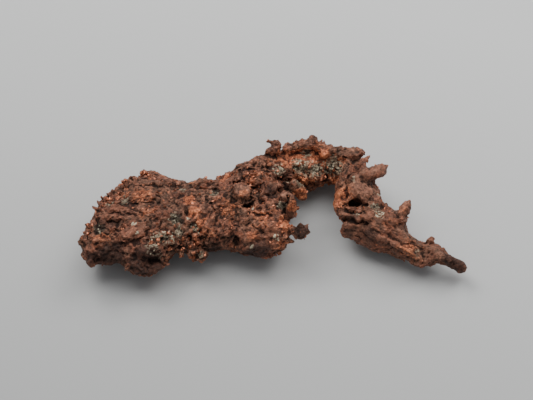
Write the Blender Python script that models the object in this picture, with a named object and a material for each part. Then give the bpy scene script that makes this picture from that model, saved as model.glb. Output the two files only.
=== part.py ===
"""Native copper nugget, grown in one piece.

A flat, hackly slab thickens into a belly. From the belly an arch runs to the right and turns
down into an arm, which tapers to a tail. Prongs, knobs, ledges and hollows stand on it.
The nugget lies on a table, with +Z up and the origin under the middle of its box.
"""

import math
import random

import bmesh
import bpy
import numpy as np
from mathutils import Matrix, Vector, noise
from mathutils.bvhtree import BVHTree

MM = 0.001

# The nugget is drawn as an observer sees it who looks down at it from the front. A place in that
# view is (across, up), in millimetres, on a plane through ORIGIN that faces the observer.
VIEW_ELEVATION = math.radians(52.0)
VIEW_DISTANCE = 400.0
ORIGIN = Vector((0.0, 0.0, 0.0))
TO_OBSERVER = Vector((0.0, -math.cos(VIEW_ELEVATION), math.sin(VIEW_ELEVATION)))
VIEW_UP = Vector((0.0, math.sin(VIEW_ELEVATION), math.cos(VIEW_ELEVATION)))
VIEW_RIGHT = Vector((1.0, 0.0, 0.0))
UPRIGHT = (Vector((1.0, 0.0, 0.0)), Vector((0.0, 1.0, 0.0)), Vector((0.0, 0.0, 1.0)))
FACING = (VIEW_RIGHT, VIEW_UP, TO_OBSERVER)
EYE = ORIGIN + TO_OBSERVER * VIEW_DISTANCE

FORM_VOXEL = 0.6
DETAIL_VOXEL = 0.42
TRIANGLES = 9600
RING_POINTS = 28
RINGS_PER_SPAN = 4
BEAD_SPACING = 0.45
# A strand's depth changes by no more than this from one of its points to the next.
MAX_STEP = 1.0
# Where a strand's points all miss the skin, its root is looked for this far above the plane.
ROOT_GUESS = 8.0
SEED = 29
COPPER = (0.36, 0.13, 0.07, 1.0)
METALLIC = 0.6
ROUGHNESS = 0.62
FINE_BALL = 3
COARSE_BALL = 1
# However high a ring stands, it keeps at least this share of its outline's width.
LEAST_REACH = 0.4

# Rings of a loft: the outline's lower and upper point in the view, the height of the ring's
# middle over the table, and its half height.
SLAB_AND_BELLY = (
    ((-46.4, -12.0), (-45.9, -9.6), 9.0, 1.2),
    ((-44.6, -15.6), (-44.2, -6.6), 8.2, 3.4),
    ((-41.8, -15.0), (-41.6, -1.0), 7.8, 4.6),
    ((-38.6, -15.0), (-38.6, 1.6), 7.6, 5.2),
    ((-36.4, -14.9), (-35.4, 3.8), 7.5, 5.6),
    ((-34.2, -16.6), (-33.4, 4.6), 7.3, 6.2),
    ((-31.4, -17.9), (-31.2, 5.3), 7.2, 6.4),
    ((-28.6, -17.9), (-28.8, 5.9), 7.2, 6.5),
    ((-25.6, -15.8), (-26.0, 5.5), 7.2, 6.2),
    ((-22.9, -13.0), (-22.9, 4.4), 7.4, 5.6),
    ((-19.0, -12.4), (-19.0, 4.2), 7.4, 5.5),
    ((-15.4, -12.3), (-15.4, 4.9), 7.4, 5.6),
    ((-11.6, -12.0), (-11.6, 4.6), 7.4, 6.0),
    ((-7.9, -12.2), (-7.9, 6.4), 7.6, 6.4),
    ((-4.0, -13.3), (-4.0, 8.0), 7.8, 6.9),
    ((-0.4, -13.7), (-0.4, 9.2), 7.8, 7.0),
    ((2.8, -12.9), (2.8, 4.0), 7.8, 6.4),
    ((5.2, -11.2), (5.2, -4.6), 7.6, 4.0),
)
ARCH_AND_ARM = (
    ((-3.0, -1.5), (-3.0, 9.8), 9.0, 5.0),
    ((2.2, 1.6), (1.4, 11.6), 8.0, 5.2),
    ((7.6, 2.6), (6.6, 12.8), 7.0, 5.4),
    ((12.4, 3.4), (12.2, 13.0), 6.6, 5.2),
    ((16.4, 4.4), (17.8, 12.6), 6.8, 4.9),
    ((17.2, 4.0), (23.2, 9.8), 7.4, 4.6),
    ((17.2, 1.0), (27.0, 4.6), 8.0, 4.6),
    ((17.4, -2.4), (28.8, -0.6), 7.6, 4.8),
    ((19.6, -5.4), (30.0, -2.6), 7.0, 4.4),
)
TAIL = (
    ((19.2, -9.4), (19.2, -5.6), 6.4, 2.6),
    ((20.8, -9.6), (20.8, -5.0), 6.4, 3.2),
    ((23.6, -10.5), (23.6, -2.4), 6.4, 4.2),
    ((27.2, -11.9), (27.2, -1.6), 6.4, 4.8),
    ((30.9, -13.2), (30.9, -2.2), 6.2, 4.6),
    ((33.3, -14.2), (33.7, -3.8), 6.0, 4.2),
    ((35.4, -15.2), (35.9, -9.2), 5.6, 3.2),
    ((38.2, -16.2), (38.4, -10.3), 5.0, 2.6),
    ((40.8, -16.1), (41.4, -10.6), 4.6, 2.3),
    ((43.2, -15.9), (43.9, -12.2), 4.2, 1.9),
    ((45.2, -16.4), (45.9, -13.9), 4.0, 1.6),
    ((47.4, -17.4), (48.2, -14.8), 3.6, 1.6),
    ((49.0, -17.9), (50.0, -16.2), 3.4, 1.2),
)
LOFTS = (SLAB_AND_BELLY, ARCH_AND_ARM, TAIL)

# Swellings on the skin: middle in the view, half length, half width, slope in degrees, rise.
# Each is an ellipsoid whose half thickness is this share of its half length plus half width.
SWELLING_THICKNESS = 0.3
SWELLINGS = {
    "back_ridge": (-29.0, 4.2, 5.6, 1.6, -4, 0.6),
    "slab_top": (-31.8, 0.6, 6.5, 2.4, 6, 0.8),
    "slab_middle": (-28.0, -3.4, 5.6, 2.2, -6, 0.7),
    "flake": (-33.2, -8.0, 4.4, 1.8, 26, 1.0),
    "left_brow": (-41.4, -10.8, 4.2, 1.5, -8, 0.9),
    "left_shoulder": (-40.2, -3.2, 3.4, 2.0, 30, 0.8),
    "crust_hill": (-25.2, -9.8, 3.4, 2.2, 18, 0.9),
    "bowl_rim": (-28.8, -13.8, 3.0, 2.6, 0, 1.1),
    "lower_bulge": (-30.6, -16.6, 4.4, 1.7, 2, 0.8),
    "corner_foot": (-43.6, -15.0, 1.8, 1.4, 0, 0.9),
    "waist_lip": (-14.8, 4.2, 4.0, 1.2, 6, 0.9),
    "waist_plate": (-12.6, 0.0, 3.2, 1.8, 0, 0.6),
    "bright_ridge_top": (-18.4, -1.6, 2.2, 3.0, -20, 0.5),
    "bright_ridge_foot": (-15.6, -6.4, 2.0, 2.8, -25, 0.5),
    "round_lobe": (-5.8, 1.5, 2.5, 2.3, 0, 1.9),
    "upper_lobe": (-2.1, 5.0, 2.3, 2.0, 20, 1.4),
    "knot": (1.4, 3.2, 2.2, 1.6, 10, 1.0),
    "front_mass": (-12.2, -9.0, 4.6, 2.2, 4, 0.9),
    "front_lip": (-12.6, -11.4, 4.2, 1.2, 2, 0.6),
    "belly": (0.2, -7.6, 4.6, 3.4, -8, 1.0),
    "belly_lip": (-1.0, -12.0, 5.2, 1.5, 4, 0.8),
    "belly_rim": (4.7, -7.6, 1.1, 3.2, 8, 0.7),
    "arch_band": (9.4, 8.6, 5.0, 1.6, 4, 0.6),
    "arch_fringe": (10.0, 5.6, 5.4, 1.2, 6, 0.7),
    "arm_lobe": (23.4, 3.2, 3.8, 3.0, -55, 1.1),
    "arm_flank": (18.4, -0.4, 1.3, 3.2, -6, 0.8),
    "arm_outer": (27.2, -1.2, 1.6, 2.2, -30, 0.7),
    "arm_shoulder": (31.2, -4.6, 3.0, 2.0, -20, 0.9),
    "lower_lip": (20.2, -8.0, 1.8, 1.5, 0, 0.7),
    "tail_keel": (33.0, -11.6, 6.0, 1.0, -26, 0.7),
    "tail_hump": (39.6, -12.4, 3.0, 1.3, -22, 0.6),
    "tail_heel": (37.2, -15.7, 1.8, 0.9, -8, 0.6),
}

# Strands grow from the skin in the view's own plane: points in the view, each with a radius.
# A strand's flatness squeezes it along the line of sight.
STRANDS = {
    "brow": (((-7.2, 7.2), 1.3), ((-4.4, 8.5), 1.4), ((-1.4, 9.9), 1.3)),
    "neck_fill": (((3.0, 2.8), 2.2), ((5.6, 2.6), 2.0), ((7.6, 2.8), 1.5)),
    "hook": (
        ((1.2, 11.2), 1.4),
        ((2.2, 12.6), 1.5),
        ((2.8, 13.8), 1.2),
        ((1.6, 14.6), 0.8),
        ((0.4, 14.5), 0.55),
    ),
    "barb": (((0.9, 11.4), 0.8), ((0.0, 12.5), 0.45)),
    "crest": (((5.2, 12.4), 1.3), ((8.4, 13.3), 1.5), ((11.4, 13.6), 1.6), ((14.0, 12.8), 1.4)),
    "crest_horn": (((11.0, 14.0), 1.1), ((11.4, 15.6), 0.8), ((12.4, 15.8), 0.45)),
    "crest_barb": (((8.4, 13.6), 0.9), ((7.4, 15.0), 0.55)),
    "crest_tooth": (((13.8, 13.0), 1.0), ((14.6, 14.8), 0.55)),
    "crest_nub": (((6.0, 12.6), 0.9), ((5.2, 14.2), 0.55)),
    "bump": (((18.4, 12.4), 0.9), ((18.8, 13.7), 0.5)),
    "stub": (((14.6, 11.6), 1.5), ((18.6, 11.6), 1.7), ((21.6, 11.4), 1.6), ((23.0, 11.7), 1.5)),
    "thorn": (
        ((24.4, 6.6), 1.3),
        ((24.1, 8.4), 0.9),
        ((24.0, 9.6), 0.9),
        ((25.0, 10.3), 0.6),
        ((25.8, 11.0), 0.4),
    ),
    "thumb": (((22.6, 4.8), 1.9), ((25.2, 6.2), 1.8), ((27.4, 7.1), 1.7), ((28.4, 7.5), 1.95)),
    "thumb_barb": (((26.4, 5.6), 0.8), ((28.2, 5.4), 0.4)),
    "arm_ledge": (((19.2, -3.2), 1.0), ((21.6, -4.0), 1.2), ((24.0, -4.2), 1.2), ((26.0, -3.8), 1.0)),
    "tongue": (((33.8, -4.8), 1.8), ((34.3, -3.2), 1.6), ((34.8, -1.9), 1.5), ((35.3, -0.6), 0.8)),
    "spike": (((40.6, -10.6), 0.8), ((41.2, -9.5), 0.6), ((41.6, -9.0), 0.4)),
    "tail_knob": (((44.6, -14.8), 1.1), ((46.6, -16.0), 1.4), ((48.6, -17.0), 1.5)),
    "claw": (((4.6, 1.0), 1.4), ((6.3, -0.3), 1.2), ((6.8, -2.1), 1.2), ((6.2, -3.6), 1.1)),
    "claw_fill": (((4.2, 0.6), 1.5), ((4.8, -1.6), 1.4), ((4.2, -3.4), 1.2)),
    "berry": (((7.0, 3.8), 1.4), ((8.0, 2.8), 1.3), ((8.4, 1.9), 1.4)),
    "burr_stem": (
        ((3.4, -7.4), 1.6),
        ((4.8, -7.6), 1.2),
        ((6.4, -7.4), 1.0),
        ((7.8, -7.8), 1.7),
        ((8.4, -8.0), 1.9),
    ),
    "burr_top": (((8.2, -7.0), 1.0), ((8.6, -5.6), 0.6)),
    "burr_side": (((9.0, -7.4), 1.0), ((10.0, -6.8), 0.6)),
    "burr_foot": (((8.8, -8.6), 1.0), ((9.4, -10.0), 0.6)),
    "burr_left": (((7.4, -7.0), 1.0), ((6.4, -5.9), 0.6)),
    "burr_heel": (((7.6, -8.4), 1.0), ((6.8, -9.8), 0.6)),
    "rim_barb": (((4.8, -10.2), 0.8), ((6.8, -10.4), 0.5)),
    "hanger": (((-18.6, -12.2), 1.6), ((-17.8, -13.4), 1.6), ((-16.0, -13.8), 1.2)),
    "edge_loop": (((-39.0, 1.6), 0.6), ((-38.6, 2.6), 0.5), ((-37.4, 3.0), 0.5), ((-36.6, 2.4), 0.6)),
    "edge_bead": (((-35.2, 3.2), 0.7), ((-34.6, 3.8), 0.7), ((-33.4, 4.4), 0.8)),
    "left_ledge": (((-45.4, -12.4), 0.8), ((-42.6, -12.8), 0.9), ((-39.8, -13.2), 0.8)),
    "nub_row": (((-12.0, 4.8), 0.8), ((-10.2, 5.6), 1.0), ((-8.8, 7.2), 1.0)),
}
FLATNESS = {"tongue": 0.45, "hook": 0.6, "crest": 0.8, "edge_loop": 0.8}

# Hollows cut into the skin: middle in the view, half length, half width, slope, depth.
HOLLOWS = {
    "arm_cave": (22.2, -0.9, 1.9, 1.2, 4, 3.6),
    "under_lobe": (-5.0, -1.5, 2.1, 0.8, -6, 2.6),
    "under_brow": (-5.2, 7.6, 2.0, 0.7, 12, 2.4),
    "waist_cleft": (-20.2, -2.6, 0.8, 2.3, 12, 2.2),
    "belly_crack": (-1.6, -8.2, 2.8, 0.6, -36, 1.8),
    "belly_groove": (-7.6, -10.4, 0.7, 2.0, 20, 1.6),
    "slab_pit": (-38.4, -5.4, 1.7, 0.7, -4, 1.8),
    "slab_pit_small": (-36.2, -7.4, 1.2, 0.6, 10, 1.4),
    "bowl": (-28.5, -15.2, 1.7, 1.1, 0, 2.2),
    "neck_hole": (0.2, 8.0, 0.9, 1.3, -10, 1.8),
    "under_knot": (4.0, 2.6, 1.7, 0.7, 0, 2.2),
    "under_ledge": (24.0, -5.6, 2.6, 0.6, -16, 1.4),
    "left_step": (-40.0, -13.9, 4.0, 0.7, -3, 2.0),
    "arch_pit": (16.0, 7.4, 1.5, 0.6, -20, 1.4),
}

# Bulges of the underside that rest on the table: middle across and back, radius, height.
FEET = (
    (-33.0, -15.6, 4.6, 3.4),
    (-29.0, -6.0, 5.0, 3.4),
    (-3.0, -12.0, 5.6, 3.6),
    (10.0, 6.8, 4.4, 3.6),
    (25.0, -10.5, 4.4, 3.2),
)

# How deep a foot would reach into the table before it is flattened.
FOOT_SINK = 0.6
# What lies lower than this is put on the table.
TABLE_SNAP = 0.06

# Swellings and hollows strewn over the sides that the observer does not see.
HIDDEN_SWELLINGS = 54
HIDDEN_HOLLOWS = 18
FACING_AWAY = -0.5
STREWN_SLOPE = (-60.0, 60.0)
STREWN_LENGTH = (1.2, 3.6)
STREWN_SLIMNESS = (0.35, 0.8)
STREWN_RISE = (0.4, 0.9)
PIT_LENGTH = (0.8, 2.2)
PIT_SLIMNESS = (0.4, 0.7)
PIT_DEPTH = (0.8, 1.8)

# Roughness: cell size and height of each layer, in millimetres.
LUMP_SIZE, LUMP_HEIGHT = 9.0, 1.5
# How fast the hidden sides' own lumps set in behind the outline.
HIDDEN_GAIN = 1.6
KNOB_SIZE, KNOB_HEIGHT = 2.7, 0.75
KNOB_ROUNDNESS = 1.5
# The height of a knob, from 0 to 1, that leaves the skin where it was.
KNOB_LEVEL = 0.45
GRAIN_SIZE, GRAIN_HEIGHT = 1.6, 0.34
# Thin strands are roughened less, down to this share, and bodies this thick or more in full.
LEAST_ROUGH, STOUT = 0.2, 6.0
# A ray that measures the thickness starts this far under the skin.
JUST_INSIDE = 0.05


def on_view_plane(across, up):
    return ORIGIN + VIEW_RIGHT * across + VIEW_UP * up


def seen_at_height(across, up, height):
    """The point at that height which the observer sees at (across, up)."""
    plane = on_view_plane(across, up)
    return EYE.lerp(plane, (EYE.z - height) / (EYE.z - plane.z))


def seen_at_depth(across, up, depth):
    """The point at that distance in front of the eye which the observer sees at (across, up)."""
    return EYE.lerp(on_view_plane(across, up), depth / VIEW_DISTANCE)


def ring_points(low, high, height, half_height):
    """An upright ellipse that just fills the outline between low and high in the view."""
    centre = seen_at_height((low[0] + high[0]) / 2, (low[1] + high[1]) / 2, height)
    chord = Vector((high[0] - low[0], high[1] - low[1]))
    half = chord.length / 2
    chord.normalize()
    level = Vector((chord.x, chord.y / VIEW_UP.y, 0.0)).normalized()
    upright = half_height * VIEW_UP.z * chord.y
    foreshortening = level.x * chord.x + level.y * VIEW_UP.y * chord.y
    reach = math.sqrt(max(half**2 - upright**2, (LEAST_REACH * half) ** 2)) / foreshortening
    points = []
    for step in range(RING_POINTS):
        turn = math.tau * step / RING_POINTS
        rise = Vector((0.0, 0.0, half_height * math.sin(turn)))
        points.append(centre + level * (reach * math.cos(turn)) + rise)
    return np.array(points)


def between(before, start, end, after, share):
    """A Catmull-Rom curve through start and end."""
    return 0.5 * (
        2 * start
        + (end - before) * share
        + (2 * before - 5 * start + 4 * end - after) * share**2
        + (3 * start - before - 3 * end + after) * share**3
    )


def add_loft(shape, rings):
    """Adds a closed tube through the rings."""
    stations = [ring_points(*ring) for ring in rings]
    smooth = []
    for index in range(len(stations) - 1):
        before = stations[max(index - 1, 0)]
        after = stations[min(index + 2, len(stations) - 1)]
        for step in range(RINGS_PER_SPAN):
            share = step / RINGS_PER_SPAN
            smooth.append(between(before, stations[index], stations[index + 1], after, share))
    smooth.append(stations[-1])
    loops = [[shape.verts.new(point) for point in ring] for ring in smooth]
    for first, second in zip(loops, loops[1:]):
        for index in range(RING_POINTS):
            following = (index + 1) % RING_POINTS
            shape.faces.new((first[index], first[following], second[following], second[index]))
    shape.faces.new(reversed(loops[0]))
    shape.faces.new(loops[-1])


def add_ellipsoid(shape, centre, axes, radii, detail):
    """Adds an ellipsoid with these axes, which stand at right angles to each other."""
    turned = Matrix([axis * radius for axis, radius in zip(axes, radii)]).transposed().to_4x4()
    matrix = Matrix.Translation(centre) @ turned
    bmesh.ops.create_icosphere(shape, subdivisions=detail, radius=1.0, matrix=matrix)


def touch(skin, across, up):
    """Where the observer's line of sight meets the skin, and the skin's normal there."""
    sight = (on_view_plane(across, up) - EYE).normalized()
    place, normal, _, _ = skin.ray_cast(EYE, sight)
    return place, normal


def skin_axes(normal, slope):
    """Axes on the skin: along the slope as the observer sees it, across it, and outwards."""
    turn = math.radians(slope)
    seen = VIEW_RIGHT * math.cos(turn) + VIEW_UP * math.sin(turn)
    across_it = normal.cross(seen).normalized()
    return across_it.cross(normal), across_it, normal


def add_swelling(shape, skin, across, up, length, width, slope, rise):
    place, normal = touch(skin, across, up)
    thickness = SWELLING_THICKNESS * (length + width)
    axes = skin_axes(normal, slope)
    centre = place - normal * (thickness - rise)
    add_ellipsoid(shape, centre, axes, (length, width, thickness), FINE_BALL)


def depth_of(place):
    """How far in front of the eye a point lies, along the middle line of sight."""
    return (EYE - place).dot(TO_OBSERVER)


def root_depth(skin, points):
    """The depth at which a strand starts: of its first point on the skin, or of the nearest skin."""
    for (across, up), _ in points:
        place, _ = touch(skin, across, up)
        if place is not None:
            return depth_of(place)
    across, up = points[0][0]
    nearest, _, _, _ = skin.find_nearest(seen_at_depth(across, up, VIEW_DISTANCE - ROOT_GUESS))
    return depth_of(nearest)


def add_strand(shape, skin, points, flatness):
    """Adds a string of overlapping beads, which follows the skin where it touches it."""
    depth = root_depth(skin, points)
    beads = []
    for (across, up), radius in points:
        place, _ = touch(skin, across, up)
        if place is not None:
            depth = min(depth + MAX_STEP, max(depth - MAX_STEP, depth_of(place)))
        beads.append((seen_at_depth(across, up, depth), radius))
    for (start, start_radius), (end, end_radius) in zip(beads, beads[1:]):
        count = max(2, round((end - start).length / BEAD_SPACING))
        for step in range(count + 1):
            share = step / count
            radius = start_radius + (end_radius - start_radius) * share
            radii = (radius, radius, radius * flatness)
            add_ellipsoid(shape, start.lerp(end, share), FACING, radii, COARSE_BALL)


def add_hollow(shape, skin, across, up, length, width, slope, depth):
    place, normal = touch(skin, across, up)
    inwards = (normal + TO_OBSERVER).normalized()
    axes = skin_axes(inwards, slope)
    add_ellipsoid(shape, place, axes, (length, width, depth), FINE_BALL)


def hidden_places(piece, count, rng):
    """Faces picked by area from the sides turned away: their middles and normals."""
    faces = [face for face in piece.data.polygons if face.normal.dot(TO_OBSERVER) < FACING_AWAY]
    picked = rng.choices(faces, weights=[face.area for face in faces], k=count)
    return [(face.center.copy(), face.normal.copy()) for face in picked]


def strew_swellings(shape, piece, rng):
    for place, normal in hidden_places(piece, HIDDEN_SWELLINGS, rng):
        length = rng.uniform(*STREWN_LENGTH)
        width = length * rng.uniform(*STREWN_SLIMNESS)
        rise = rng.uniform(*STREWN_RISE) * math.sqrt(width)
        axes = skin_axes(normal, rng.uniform(*STREWN_SLOPE))
        thickness = SWELLING_THICKNESS * (length + width)
        centre = place - normal * (thickness - rise)
        add_ellipsoid(shape, centre, axes, (length, width, thickness), FINE_BALL)


def strew_hollows(shape, piece, rng):
    for place, normal in hidden_places(piece, HIDDEN_HOLLOWS, rng):
        length = rng.uniform(*PIT_LENGTH)
        width = length * rng.uniform(*PIT_SLIMNESS)
        axes = skin_axes(normal, rng.uniform(*STREWN_SLOPE))
        add_ellipsoid(shape, place, axes, (length, width, rng.uniform(*PIT_DEPTH)), FINE_BALL)


def mesh_object(name, shape):
    mesh = bpy.data.meshes.new(name)
    bmesh.ops.recalc_face_normals(shape, faces=shape.faces)
    shape.to_mesh(mesh)
    shape.free()
    made = bpy.data.objects.new(name, mesh)
    bpy.context.scene.collection.objects.link(made)
    return made


def bake_modifiers(piece):
    """Gives the object the mesh that its modifiers make, and removes them."""
    bpy.context.view_layer.update()
    graph = bpy.context.evaluated_depsgraph_get()
    finished = bpy.data.meshes.new_from_object(piece.evaluated_get(graph))
    piece.modifiers.clear()
    piece.data = finished


def fuse(piece, voxel):
    remesh = piece.modifiers.new("fuse", "REMESH")
    remesh.mode = "VOXEL"
    remesh.voxel_size = voxel
    remesh.adaptivity = 0.0
    bake_modifiers(piece)


def drop_chips(piece):
    """Keeps only the largest body, without the chips that a hollow cut free."""
    shape = bmesh.new()
    shape.from_mesh(piece.data)
    waiting = set(shape.verts)
    bodies = []
    while waiting:
        body = [waiting.pop()]
        for vertex in body:
            for edge in vertex.link_edges:
                other = edge.other_vert(vertex)
                if other in waiting:
                    waiting.remove(other)
                    body.append(other)
        bodies.append(body)
    bodies.sort(key=len)
    for body in bodies[:-1]:
        bmesh.ops.delete(shape, geom=body, context="VERTS")
    shape.to_mesh(piece.data)
    shape.free()


def skin_of(piece):
    shape = bmesh.new()
    shape.from_mesh(piece.data)
    tree = BVHTree.FromBMesh(shape)
    shape.free()
    return tree


def cut(piece, cutter):
    difference = piece.modifiers.new("hollows", "BOOLEAN")
    difference.operation = "DIFFERENCE"
    difference.solver = "EXACT"
    difference.object = cutter
    bake_modifiers(piece)
    bpy.data.objects.remove(cutter)


def knobbly(place, size):
    """From 0 in the gaps between rounded cells of that size to 1 on their tops."""
    distances, _ = noise.voronoi(place / size)
    return max(0.0, 1.0 - KNOB_ROUNDNESS * distances[0] ** 2)


def stoutness(skin, place, normal):
    """From LEAST_ROUGH on the thinnest strands to 1 where the body is STOUT or thicker."""
    _, _, _, thickness = skin.ray_cast(place - normal * JUST_INSIDE, -normal)
    if thickness is None:
        return 1.0
    return min(1.0, max(LEAST_ROUGH, thickness / STOUT))


def roughen(piece):
    """Pushes the skin in and out: broad lumps where the observer doesn't see, knobs all over."""
    mesh = piece.data
    skin = skin_of(piece)
    normals = [vertex.normal.copy() for vertex in mesh.vertices]
    shares = [stoutness(skin, vertex.co, normal) for vertex, normal in zip(mesh.vertices, normals)]
    for vertex, normal, share in zip(mesh.vertices, normals, shares):
        place = vertex.co
        hidden = min(1.0, max(0.0, -normal.dot(TO_OBSERVER) * HIDDEN_GAIN))
        broad = noise.fractal(place / LUMP_SIZE, 1.0, 2.0, 2) * LUMP_HEIGHT * hidden
        knobs = (knobbly(place, KNOB_SIZE) - KNOB_LEVEL) * KNOB_HEIGHT * (1.0 + hidden)
        grain = noise.fractal(place / GRAIN_SIZE, 0.8, 2.0, 2) * GRAIN_HEIGHT
        vertex.co = place + normal * ((broad + knobs + grain) * share)
    mesh.update()


def set_down(piece):
    """Flattens what reaches the table, so that the feet rest on it."""
    for vertex in piece.data.vertices:
        if vertex.co.z < TABLE_SNAP:
            vertex.co.z = 0.0
    piece.data.update()


def thin_out(piece, triangles):
    count = sum(len(face.vertices) - 2 for face in piece.data.polygons)
    decimate = piece.modifiers.new("thin out", "DECIMATE")
    decimate.ratio = min(1.0, triangles / count)
    decimate.use_collapse_triangulate = True
    bake_modifiers(piece)


def centre_on_origin(piece):
    """Moves the middle of the box over the origin, and says where the view point went."""
    places = np.array([vertex.co[:] for vertex in piece.data.vertices])
    middle = (places.min(axis=0) + places.max(axis=0)) / 2
    piece.data.transform(Matrix.Translation((-middle[0], -middle[1], 0.0)))
    return ORIGIN - Vector((middle[0], middle[1], 0.0))


def copper_material():
    material = bpy.data.materials.new("native_copper")
    material.use_nodes = True
    surface = material.node_tree.nodes["Principled BSDF"]
    surface.inputs["Base Color"].default_value = COPPER
    surface.inputs["Metallic"].default_value = METALLIC
    surface.inputs["Roughness"].default_value = ROUGHNESS
    return material


def make_nugget():
    rng = random.Random(SEED)
    body = bmesh.new()
    for rings in LOFTS:
        add_loft(body, rings)
    nugget = mesh_object("copper_nugget", body)
    fuse(nugget, FORM_VOXEL)
    skin = skin_of(nugget)

    grown = bmesh.new()
    grown.from_mesh(nugget.data)
    for swelling in SWELLINGS.values():
        add_swelling(grown, skin, *swelling)
    for name, points in STRANDS.items():
        add_strand(grown, skin, points, FLATNESS.get(name, 1.0))
    strew_swellings(grown, nugget, rng)
    for across, back, radius, height in FEET:
        centre = Vector((across, back, height))
        add_ellipsoid(grown, centre, UPRIGHT, (radius, radius, height + FOOT_SINK), FINE_BALL)
    bpy.data.objects.remove(nugget)
    nugget = mesh_object("copper_nugget", grown)
    fuse(nugget, DETAIL_VOXEL)

    skin = skin_of(nugget)
    hollows = bmesh.new()
    for hollow in HOLLOWS.values():
        add_hollow(hollows, skin, *hollow)
    strew_hollows(hollows, nugget, rng)
    cutter = mesh_object("hollows", hollows)
    fuse(cutter, DETAIL_VOXEL)
    cut(nugget, cutter)
    fuse(nugget, DETAIL_VOXEL)
    drop_chips(nugget)
    roughen(nugget)
    set_down(nugget)
    thin_out(nugget, TRIANGLES)
    set_down(nugget)
    view_point = centre_on_origin(nugget)
    print("view point", [round(value, 4) for value in view_point], "mm")
    nugget.data.transform(Matrix.Scale(MM, 4))
    nugget.data.materials.append(copper_material())
    return view_point


def main():
    for old in list(bpy.data.objects):
        bpy.data.objects.remove(old)
    return make_nugget()


# Where the observer looks, in millimetres from the nugget's own origin.
VIEW_POINT = main()
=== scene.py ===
import math

import bmesh
import bpy
import numpy as np
from bpy.props import FloatProperty, FloatVectorProperty, IntProperty, PointerProperty
from mathutils import Matrix, Vector, noise
from mathutils.bvhtree import BVHTree


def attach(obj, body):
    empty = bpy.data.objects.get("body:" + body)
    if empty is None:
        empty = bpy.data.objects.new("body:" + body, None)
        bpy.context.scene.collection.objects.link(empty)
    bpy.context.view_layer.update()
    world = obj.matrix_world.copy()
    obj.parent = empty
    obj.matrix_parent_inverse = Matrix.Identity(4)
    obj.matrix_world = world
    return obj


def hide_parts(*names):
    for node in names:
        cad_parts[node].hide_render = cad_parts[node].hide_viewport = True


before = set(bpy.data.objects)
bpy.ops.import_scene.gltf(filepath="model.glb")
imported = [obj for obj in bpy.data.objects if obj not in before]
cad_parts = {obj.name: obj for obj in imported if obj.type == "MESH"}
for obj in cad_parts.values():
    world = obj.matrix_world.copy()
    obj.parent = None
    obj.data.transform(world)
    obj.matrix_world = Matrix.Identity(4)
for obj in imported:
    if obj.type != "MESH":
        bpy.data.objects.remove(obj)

bl_info = {
    "name": "Native copper nugget",
    "version": (1, 0, 0),
    "blender": (4, 5, 0),
    "location": "View3D > Sidebar > Nugget",
    "description": "Builds a hackly native copper nugget, its grains and its stage",
    "category": "Object",
}

# All places are worked out in millimetres, and meshes are stored in metres.
MM = 0.001

# The nugget is laid out as an observer sees it who looks down at it from the front. A place in that
# view is (across, up), in millimetres, on a plane through VIEW_POINT that faces the observer.
VIEW_ELEVATION = math.radians(52.0)
VIEW_DISTANCE = 400.0
VIEW_POINT = Vector((-1.6936, 8.1937, 0.0))
VIEW_WIDTH = 133.25
TO_OBSERVER = Vector((0.0, -math.cos(VIEW_ELEVATION), math.sin(VIEW_ELEVATION)))
VIEW_UP = Vector((0.0, math.sin(VIEW_ELEVATION), math.cos(VIEW_ELEVATION)))
VIEW_RIGHT = Vector((1.0, 0.0, 0.0))
EYE = VIEW_POINT + TO_OBSERVER * VIEW_DISTANCE

# How knobbly the skin is, by place in the view: middle, radius, and the share there.
KNOBBLY_PLACES = {
    "centre": (-4.0, 5.5, 7.5, 0.85),
    "arch": (7.0, 6.6, 8.0, 0.6),
    "arch_end": (14.5, 6.6, 5.0, 0.6),
    "belly": (-2.0, -5.0, 5.0, 0.3),
    "waist_front": (-17.0, -9.5, 6.0, 0.9),
    "crust_hill": (-25.5, -10.5, 5.5, 1.0),
    "waist_hanger": (-17.5, -14.0, 3.0, 1.0),
    "left_crust": (-41.5, -7.0, 4.0, 0.7),
    "rim_left": (-45.6, -9.0, 4.0, 0.7),
    "rim_middle": (-41.0, -0.8, 4.0, 0.8),
    "rim_upper": (-36.4, 3.0, 4.0, 0.9),
    "rim_peak": (-31.0, 5.8, 4.0, 0.7),
    "bulge": (-30.0, -17.0, 5.0, 0.35),
    "front_shelf": (-39.0, -14.8, 4.0, 0.3),
    "burr": (8.0, -7.6, 3.0, 1.0),
    "arm_cave": (22.0, -2.4, 3.0, 0.5),
}
# Where the skin is streaked lengthwise in place of knobbly: middle, radius, share, slope in degrees.
STREAKED_PLACES = {
    "slab": (-33.0, -1.0, 12.0, 1.0, 3.0),
    "slab_front": (-40.0, -11.6, 9.0, 1.0, -3.0),
    "tail_root": (27.0, -7.5, 7.0, 1.0, -22.0),
    "tail": (36.0, -11.0, 10.0, 1.0, -26.0),
}
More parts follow.
